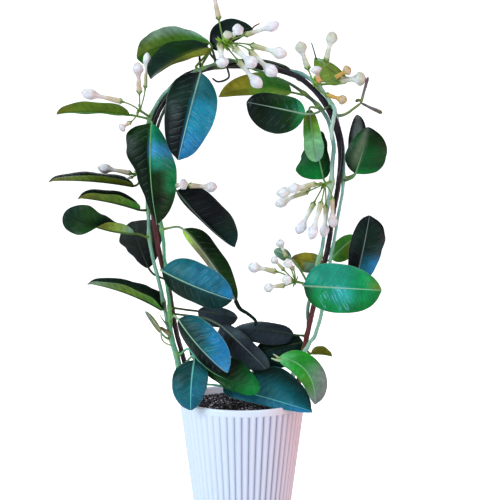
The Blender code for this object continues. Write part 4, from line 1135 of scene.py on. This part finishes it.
# Each umbel: its stem, a place near its foot there, the point where its stalklets meet, and its buds, each
# as (the calyx, the tip, how thick against a full-grown bud, its colours in budTones).
umbels = {
    "umbel_left": ("vine_left_outer", (-92, -6, 412), (-102, -14, 418), [
        ((-118, -30, 426), (-157, -38, 435), 1.0, "rose"), ((-102, -16, 435), (-103, -22, 465), 1.0, "rose"),
        ((-97, -6, 441), (-95, -4, 476), 0.72, "green"), ((-111, -18, 406), (-121, -24, 399), 0.8, "rose"),
    ]),
    "umbel_left_low": ("vine_left_outer", (-98, 0, 360), (-106, 4, 356), [
        ((-113, 4, 355), (-147, 4, 361), 0.95, "rose"), ((-112, 8, 351), (-124, 14, 348), 0.6, "white"),
    ]),
    "umbel_inner_left": ("vine_left_inner", (-88, 0, 345), (-72, -4, 341), [
        ((-68, -8, 343), (-56, -22, 345), 1.0, "rose"), ((-54, -2, 343), (-25, -6, 341), 1.0, "rose"),
    ]),
    "umbel_inner_right": ("vine_right_inner", (74, 0, 240), (54, -12, 246), [
        ((34, -20, 257), (6, -26, 263), 1.0, "green"), ((42, -22, 243), (22, -30, 241), 0.9, "green"),
        ((45, -4, 270), (37, -4, 288), 0.85, "green"), ((42, -12, 258), (30, -14, 271), 0.75, "green"),
        ((51, -20, 260), (44, -36, 268), 0.9, "green"), ((48, -26, 249), (43, -42, 251), 0.9, "green"),
    ]),
    "umbel_right": ("vine_right_inner", (94, 0, 346), (83, -14, 345), [
        ((68, -18, 342), (34, -22, 335), 1.0, "green"), ((73, -26, 345), (45, -36, 340), 1.0, "green"),
        ((66, -10, 337), (33, -8, 323), 1.0, "green"), ((72, -18, 326), (55, -24, 295), 1.0, "white"),
        ((79, -24, 327), (68, -32, 290), 1.0, "white"), ((90, -18, 331), (91, -20, 301), 0.9, "rose"),
        ((84, -14, 323), (82, -14, 291), 0.9, "white"),
    ]),
    "umbel_top_right": ("vine_right_outer", (72, -4, 440), (72, -8, 446), [
        ((66, -10, 459), (56.5, -14, 486), 1.12, "wax"), ((84, -2, 467), (91.5, 0, 497), 1.1, "wax"),
        ((96, -6, 448), (124, -8, 450), 1.3, "wax"), ((77, -16, 445), (72.5, -22, 461), 1.0, "peach"),
        ((84, -8, 434), (105, -10, 427.5), 0.9, "tan"), ((92, -12, 450), (108, -16, 459.5), 0.95, "tan"),
    ]),
    "umbel_top": ("vine_left_inner", (-22, -6, 463), (-18, -14, 484), [
        ((-23, -12, 508), (-30, -12, 543.6), 1.0, "rose"), ((-10, -22, 490), (-2, -38, 497), 1.08, "white"),
        ((-15, -20, 486), (-14, -31, 492.5), 0.85, "lime"), ((3, -16, 492), (37, -20, 503), 1.0, "white"),
        ((9, -18, 482), (45, -22, 472), 1.08, "green"), ((8, -22, 476), (34.5, -28, 451.5), 1.15, "white"),
        ((-8, -26, 479), (14, -36, 460), 1.2, "white"), ((-4, -18, 467), (19.5, -24, 440), 1.1, "white"),
        ((-22, -24, 482), (-18.5, -32, 459), 1.18, "white"),
    ]),
}

# The scales round an umbel's hub: how many, the longest, the share of bright ones and how wide.
crowns = {
    "umbel_top": (60, 12.0, 0.85, 1.7),
    "umbel_top_right": (22, 9.0, 0.6, 1.4),
    "others": (16, 8.0, 0.0, 1.0),
}
budTones = {
    "white": "wheat wheat wax wax lilac pearl lilac", "green": "wheat wheat wheat wax wax pearl wax",
    "lime": "spring lime lime mist mist mist", "wax": "lime mist mist wax wax mist blush",
    "rose": "wheat beige beige blush blush lilac blush", "tan": "lime tan tan tan beige tan",
    "peach": "apricot apricot beige blush lilac",
}


def budFinish():
    material, shader, w = newFinish("budWax", Subsurface_Weight=0.12, Subsurface_Scale=0.004,
                                    Specular_IOR_Level=0.45)
    place = w.place()
    mottle = w.times(w.step(w.grain(place, 260.0, 4.0, 0.6), 0.3, 0.7, 0.9, 1.08),
                     w.step(w.grain(place, 1500.0, 2.0), 0.3, 0.7, 0.96, 1.03))
    colour = w.vector("SCALE", w.mark("tone", "Color"), mottle)
    colour = w.mix(w.times(w.mark("furrow"), 0.35), colour, "beige")
    dress(w, shader, colour, w.step(w.mark("waxShare"), 0.0, 1.0, 0.45, 0.36),
          w.bump(w.grain(place, 700.0, 4.0), 0.2, 0.0005))
    return material


def budMarks(tone, waxy=0.0, furrow=0.0):
    return {"tone": tone, "waxShare": waxy, "furrow": furrow}


def addBud(shell, hub, calyx, tip, size, tones, draw):
    make, sides = budMaking, budMaking["sides"]
    way = (tip - calyx).normalized()
    length = (tip - calyx).length
    knee = calyx - way * (calyx - hub).length * make["kneeShare"]
    count = max(8, round((calyx - hub).length / make["pedicelFine"]))
    stalk = [bezier(hub, knee, calyx, k / count) for k in range(count + 1)]
    thick = make["pedicel"] * size ** 0.3
    wider = [smooth((k / count - make["neckFrom"]) / (1 - make["neckFrom"])) for k in range(count + 1)]
    radii = [thick * (1.0 + make["neck"] * share) for share in wider]
    shell.tube(stalk, radii, make["pedicelSides"], [budMarks(linear("stalk"))] * len(stalk))
    side = way.orthogonal().normalized()
    side.rotate(Quaternion(way, draw.uniform(0, 6.28)))
    other = way.cross(side)
    slim = make["shortSlim"] if length < make["shortBud"] else 1.0
    bow = (side * math.cos(1.0) + other * math.sin(1.0)) * (draw.uniform(*make["bow"]) * length * 4)
    rings = [([calyx - way * 0.4], [budMarks(alongStops(tones, 0), 1.0)])]
    for index in range(make["rings"] + 1):
        share = index / make["rings"]
        radius = throughTable(budWidths, share) * size * (1.0 if share > make["tubeEnd"] else slim)
        head = smooth((share - make["headFrom"]) / make["headRise"])
        ridge = make["ridge"] * (head - make["tubeRidge"] * (1 - head))
        centre = calyx + way * (length * share) + bow * (share * (1 - share))
        places, marks = [], []
        for k in range(sides):
            turn = 2 * math.pi * k / sides
            lobes = math.cos(make["lobes"] * (turn + make["turns"] * 2 * math.pi * share))
            grooved = radius * (1 + ridge * lobes)
            places.append(centre + side * (grooved * math.cos(turn)) + other * (grooved * math.sin(turn)))
            marks.append(budMarks(alongStops(tones, share), 1.0, head * max(0.0, -lobes) ** 2))
        rings.append((places, marks))
    rings.append(([tip], [budMarks(alongStops(tones, 1), 1.0)]))
    shell.loft(rings)
    for k in range(make["lobes"]):  # the calyx of small pointed sepals
        turn = 2 * math.pi * (k + 0.5) / make["lobes"]
        out = side * math.cos(turn) + other * math.sin(turn)
        grown = (1.0, size, size)  # the sepals' feet sit equally deep on all buds
        bend = [calyx + way * up * share + out * off * size
                for up, off, share in zip(make["sepalUp"], make["sepalOut"], grown)]
        addBract(shell, bend, make["sepalWidth"] * size, out, "sepal")


def addBract(shell, bend, width, out, colour):  # a small pointed scale along a bend of three points
    count = budMaking["bractSteps"]
    knee = bend[1] * 2 - bend[0].lerp(bend[2], 0.5)
    line = [bezier(bend[0], knee, bend[2], k / count) for k in range(count + 1)]
    rings = []
    tangents, ways = carriedFrames(line, out.cross(bend[1] - bend[0]))
    for k, (point, tangent, side) in enumerate(zip(line, tangents, ways)):
        share = k / count
        half = width * (0.55 + 0.9 * share) * (1 - share) ** 0.7 + 0.06  # widest near its middle
        thick = budMaking["bractThick"] * (1 - 0.7 * share)
        places = oval(point, side, side.cross(tangent), half, thick, 6)
        tone = blend(linear(colour), linear("freshGreen"), 0.25 * share)
        rings.append((places, [budMarks(tone)] * 6))
    shell.loft(rings)


def buildUmbels(lines):
    finish = budFinish()
    make = budMaking
    for index, (name, (stem, near, hub, buds)) in enumerate(umbels.items()):
        draw = random.Random(make["seed"] + index)
        shell = Shell()
        hub = Vector(hub)
        core, root, way = stemFoot(lines[stem], Vector(near), hub)
        first = root + way * make["stalkStart"]
        stalk = smoothLine([core, root, first, first.lerp(hub, 0.5), hub], make["peduncleFine"])
        radii = [make["peduncle"] * (1 + make["stemFlare"] * fading(point, core, make["stemReach"])
                                     + make["hubFlare"] * fading(point, hub, make["hubReach"]))
                 for point in stalk]
        shell.tube(stalk, radii, make["peduncleSides"], [budMarks(linear("stalk"))] * len(stalk))
        for calyx, tip, size, look in buds:
            addBud(shell, hub, Vector(calyx), Vector(tip), size, budTones[look], draw)
        bracts, longest, bright, wide = crowns.get(name, crowns["others"])
        for k in range(bracts):
            stray = Vector((draw.uniform(-1, 1), draw.uniform(-1, 1), draw.uniform(-1, 1)))
            towards = (Vector(buds[k % len(buds)][0]) - hub).normalized() + stray * make["bractStray"]
            towards.normalize()
            long = draw.uniform(make["bractLength"], longest)
            out = towards.orthogonal().normalized()
            colour = "freshGreen" if draw.random() < bright else ("stalk" if k % 2 else "sepal")
            bend = [hub, hub + towards * long * 0.55 + out * 0.6, hub + towards * long]
            addBract(shell, bend, draw.uniform(*make["bractWidth"]) * wide, out, colour)
        seat(shell.piece(name + "Buds", finish), name)


studio = {
    "cameraPlace": (0.008, -1.2, 0.38), "cameraLook": (0.008, 0.0, 0.277), "lens": 85.1, "sensor": 36.0,
    "lampLook": (0.0, 0.0, 0.25), "floorReach": 30.0, "floorColour": (0.86, 0.86, 0.87, 1), "floorGlow": 0.95,
    "skyTint": (0.97, 0.98, 1.0, 1), "ambient": 0.30, "sheenAmbient": 0.10,
}
# Each lamp: its place, its width, its power and its colour.
lamps = {
    "key": ((-1.25, -1.0, 0.95), 0.8, 21.0, (0.72, 0.86, 1.0)),
    "sky": ((0.35, -0.6, 1.6), 1.1, 9.0, (0.80, 0.90, 1.0)),
    "blush": ((1.35, -0.6, 0.3), 0.8, 8.0, (1.0, 0.63, 0.66)),
    "fill": ((-0.5, 1.3, 0.9), 1.0, 9.0, (0.95, 0.97, 1.0)),
}


def aimed(thing, place, look):
    thing.location = place
    thing.rotation_euler = (Vector(look) - Vector(place)).to_track_quat("-Z", "Y").to_euler()
    bpy.context.scene.collection.objects.link(thing)
    return thing


def buildFloor():
    mesh = bpy.data.meshes.new("paleFloor")
    reach = studio["floorReach"]
    mesh.from_pydata([(-reach, -reach, 0), (reach, -reach, 0), (reach, reach, 0), (-reach, reach, 0)], [],
                     [(0, 1, 2, 3)])
    floor = bpy.data.objects.new("paleFloor", mesh)
    bpy.context.scene.collection.objects.link(floor)
    material = bpy.data.materials.new("paleFloor")
    material.use_nodes = True
    w = Wiring(material.node_tree)
    w.tree.nodes.clear()
    matt = w.add("ShaderNodeBsdfDiffuse", Color=studio["floorColour"]).outputs[0]
    seen = w.add("ShaderNodeLightPath").outputs["Is Camera Ray"]
    glow = w.add("ShaderNodeEmission", Strength=w.times(seen, studio["floorGlow"])).outputs[0]
    both = w.add("ShaderNodeAddShader")
    w.tree.links.new(matt, both.inputs[0])
    w.tree.links.new(glow, both.inputs[1])
    w.add("ShaderNodeOutputMaterial", Surface=both.outputs[0])
    mesh.materials.append(material)


def buildStudio():
    buildFloor()
    world = bpy.data.worlds.new("softDaylight")
    world.use_nodes = True
    w = Wiring(world.node_tree)
    sky = world.node_tree.nodes["Background"]
    rays = w.add("ShaderNodeLightPath").outputs
    dimmer = w.times(rays["Is Glossy Ray"], studio["sheenAmbient"] - studio["ambient"])
    w.feed(sky, "Color", studio["skyTint"])
    w.feed(sky, "Strength", w.plus(rays["Is Camera Ray"], studio["ambient"], dimmer))
    bpy.context.scene.world = world
    for name, (place, size, power, colour) in lamps.items():
        light = bpy.data.lights.new(name + "Light", "AREA")
        light.shape = "DISK"
        light.size, light.energy, light.color = size, power, colour
        aimed(bpy.data.objects.new(name + "Light", light), place, studio["lampLook"])
    camera = bpy.data.cameras.new("camera")
    camera.lens = studio["lens"]
    camera.sensor_width = studio["sensor"]
    eye = aimed(bpy.data.objects.new("camera", camera), studio["cameraPlace"], studio["cameraLook"])
    bpy.context.scene.camera = eye
    bpy.context.scene.view_settings.view_transform = "Standard"


buildStudio()
print("studio set: floor, four lights, camera")
buildPot()
print("pot turned and reeded")
buildSoil()
print("soil laid and strewn")
stemLines = buildStems()
print("hoop and four stems grown")
buildLeaves(stemLines)
print(len(leaves), "leaves grown")
buildUmbels(stemLines)
print(len(umbels), "umbels of buds grown")
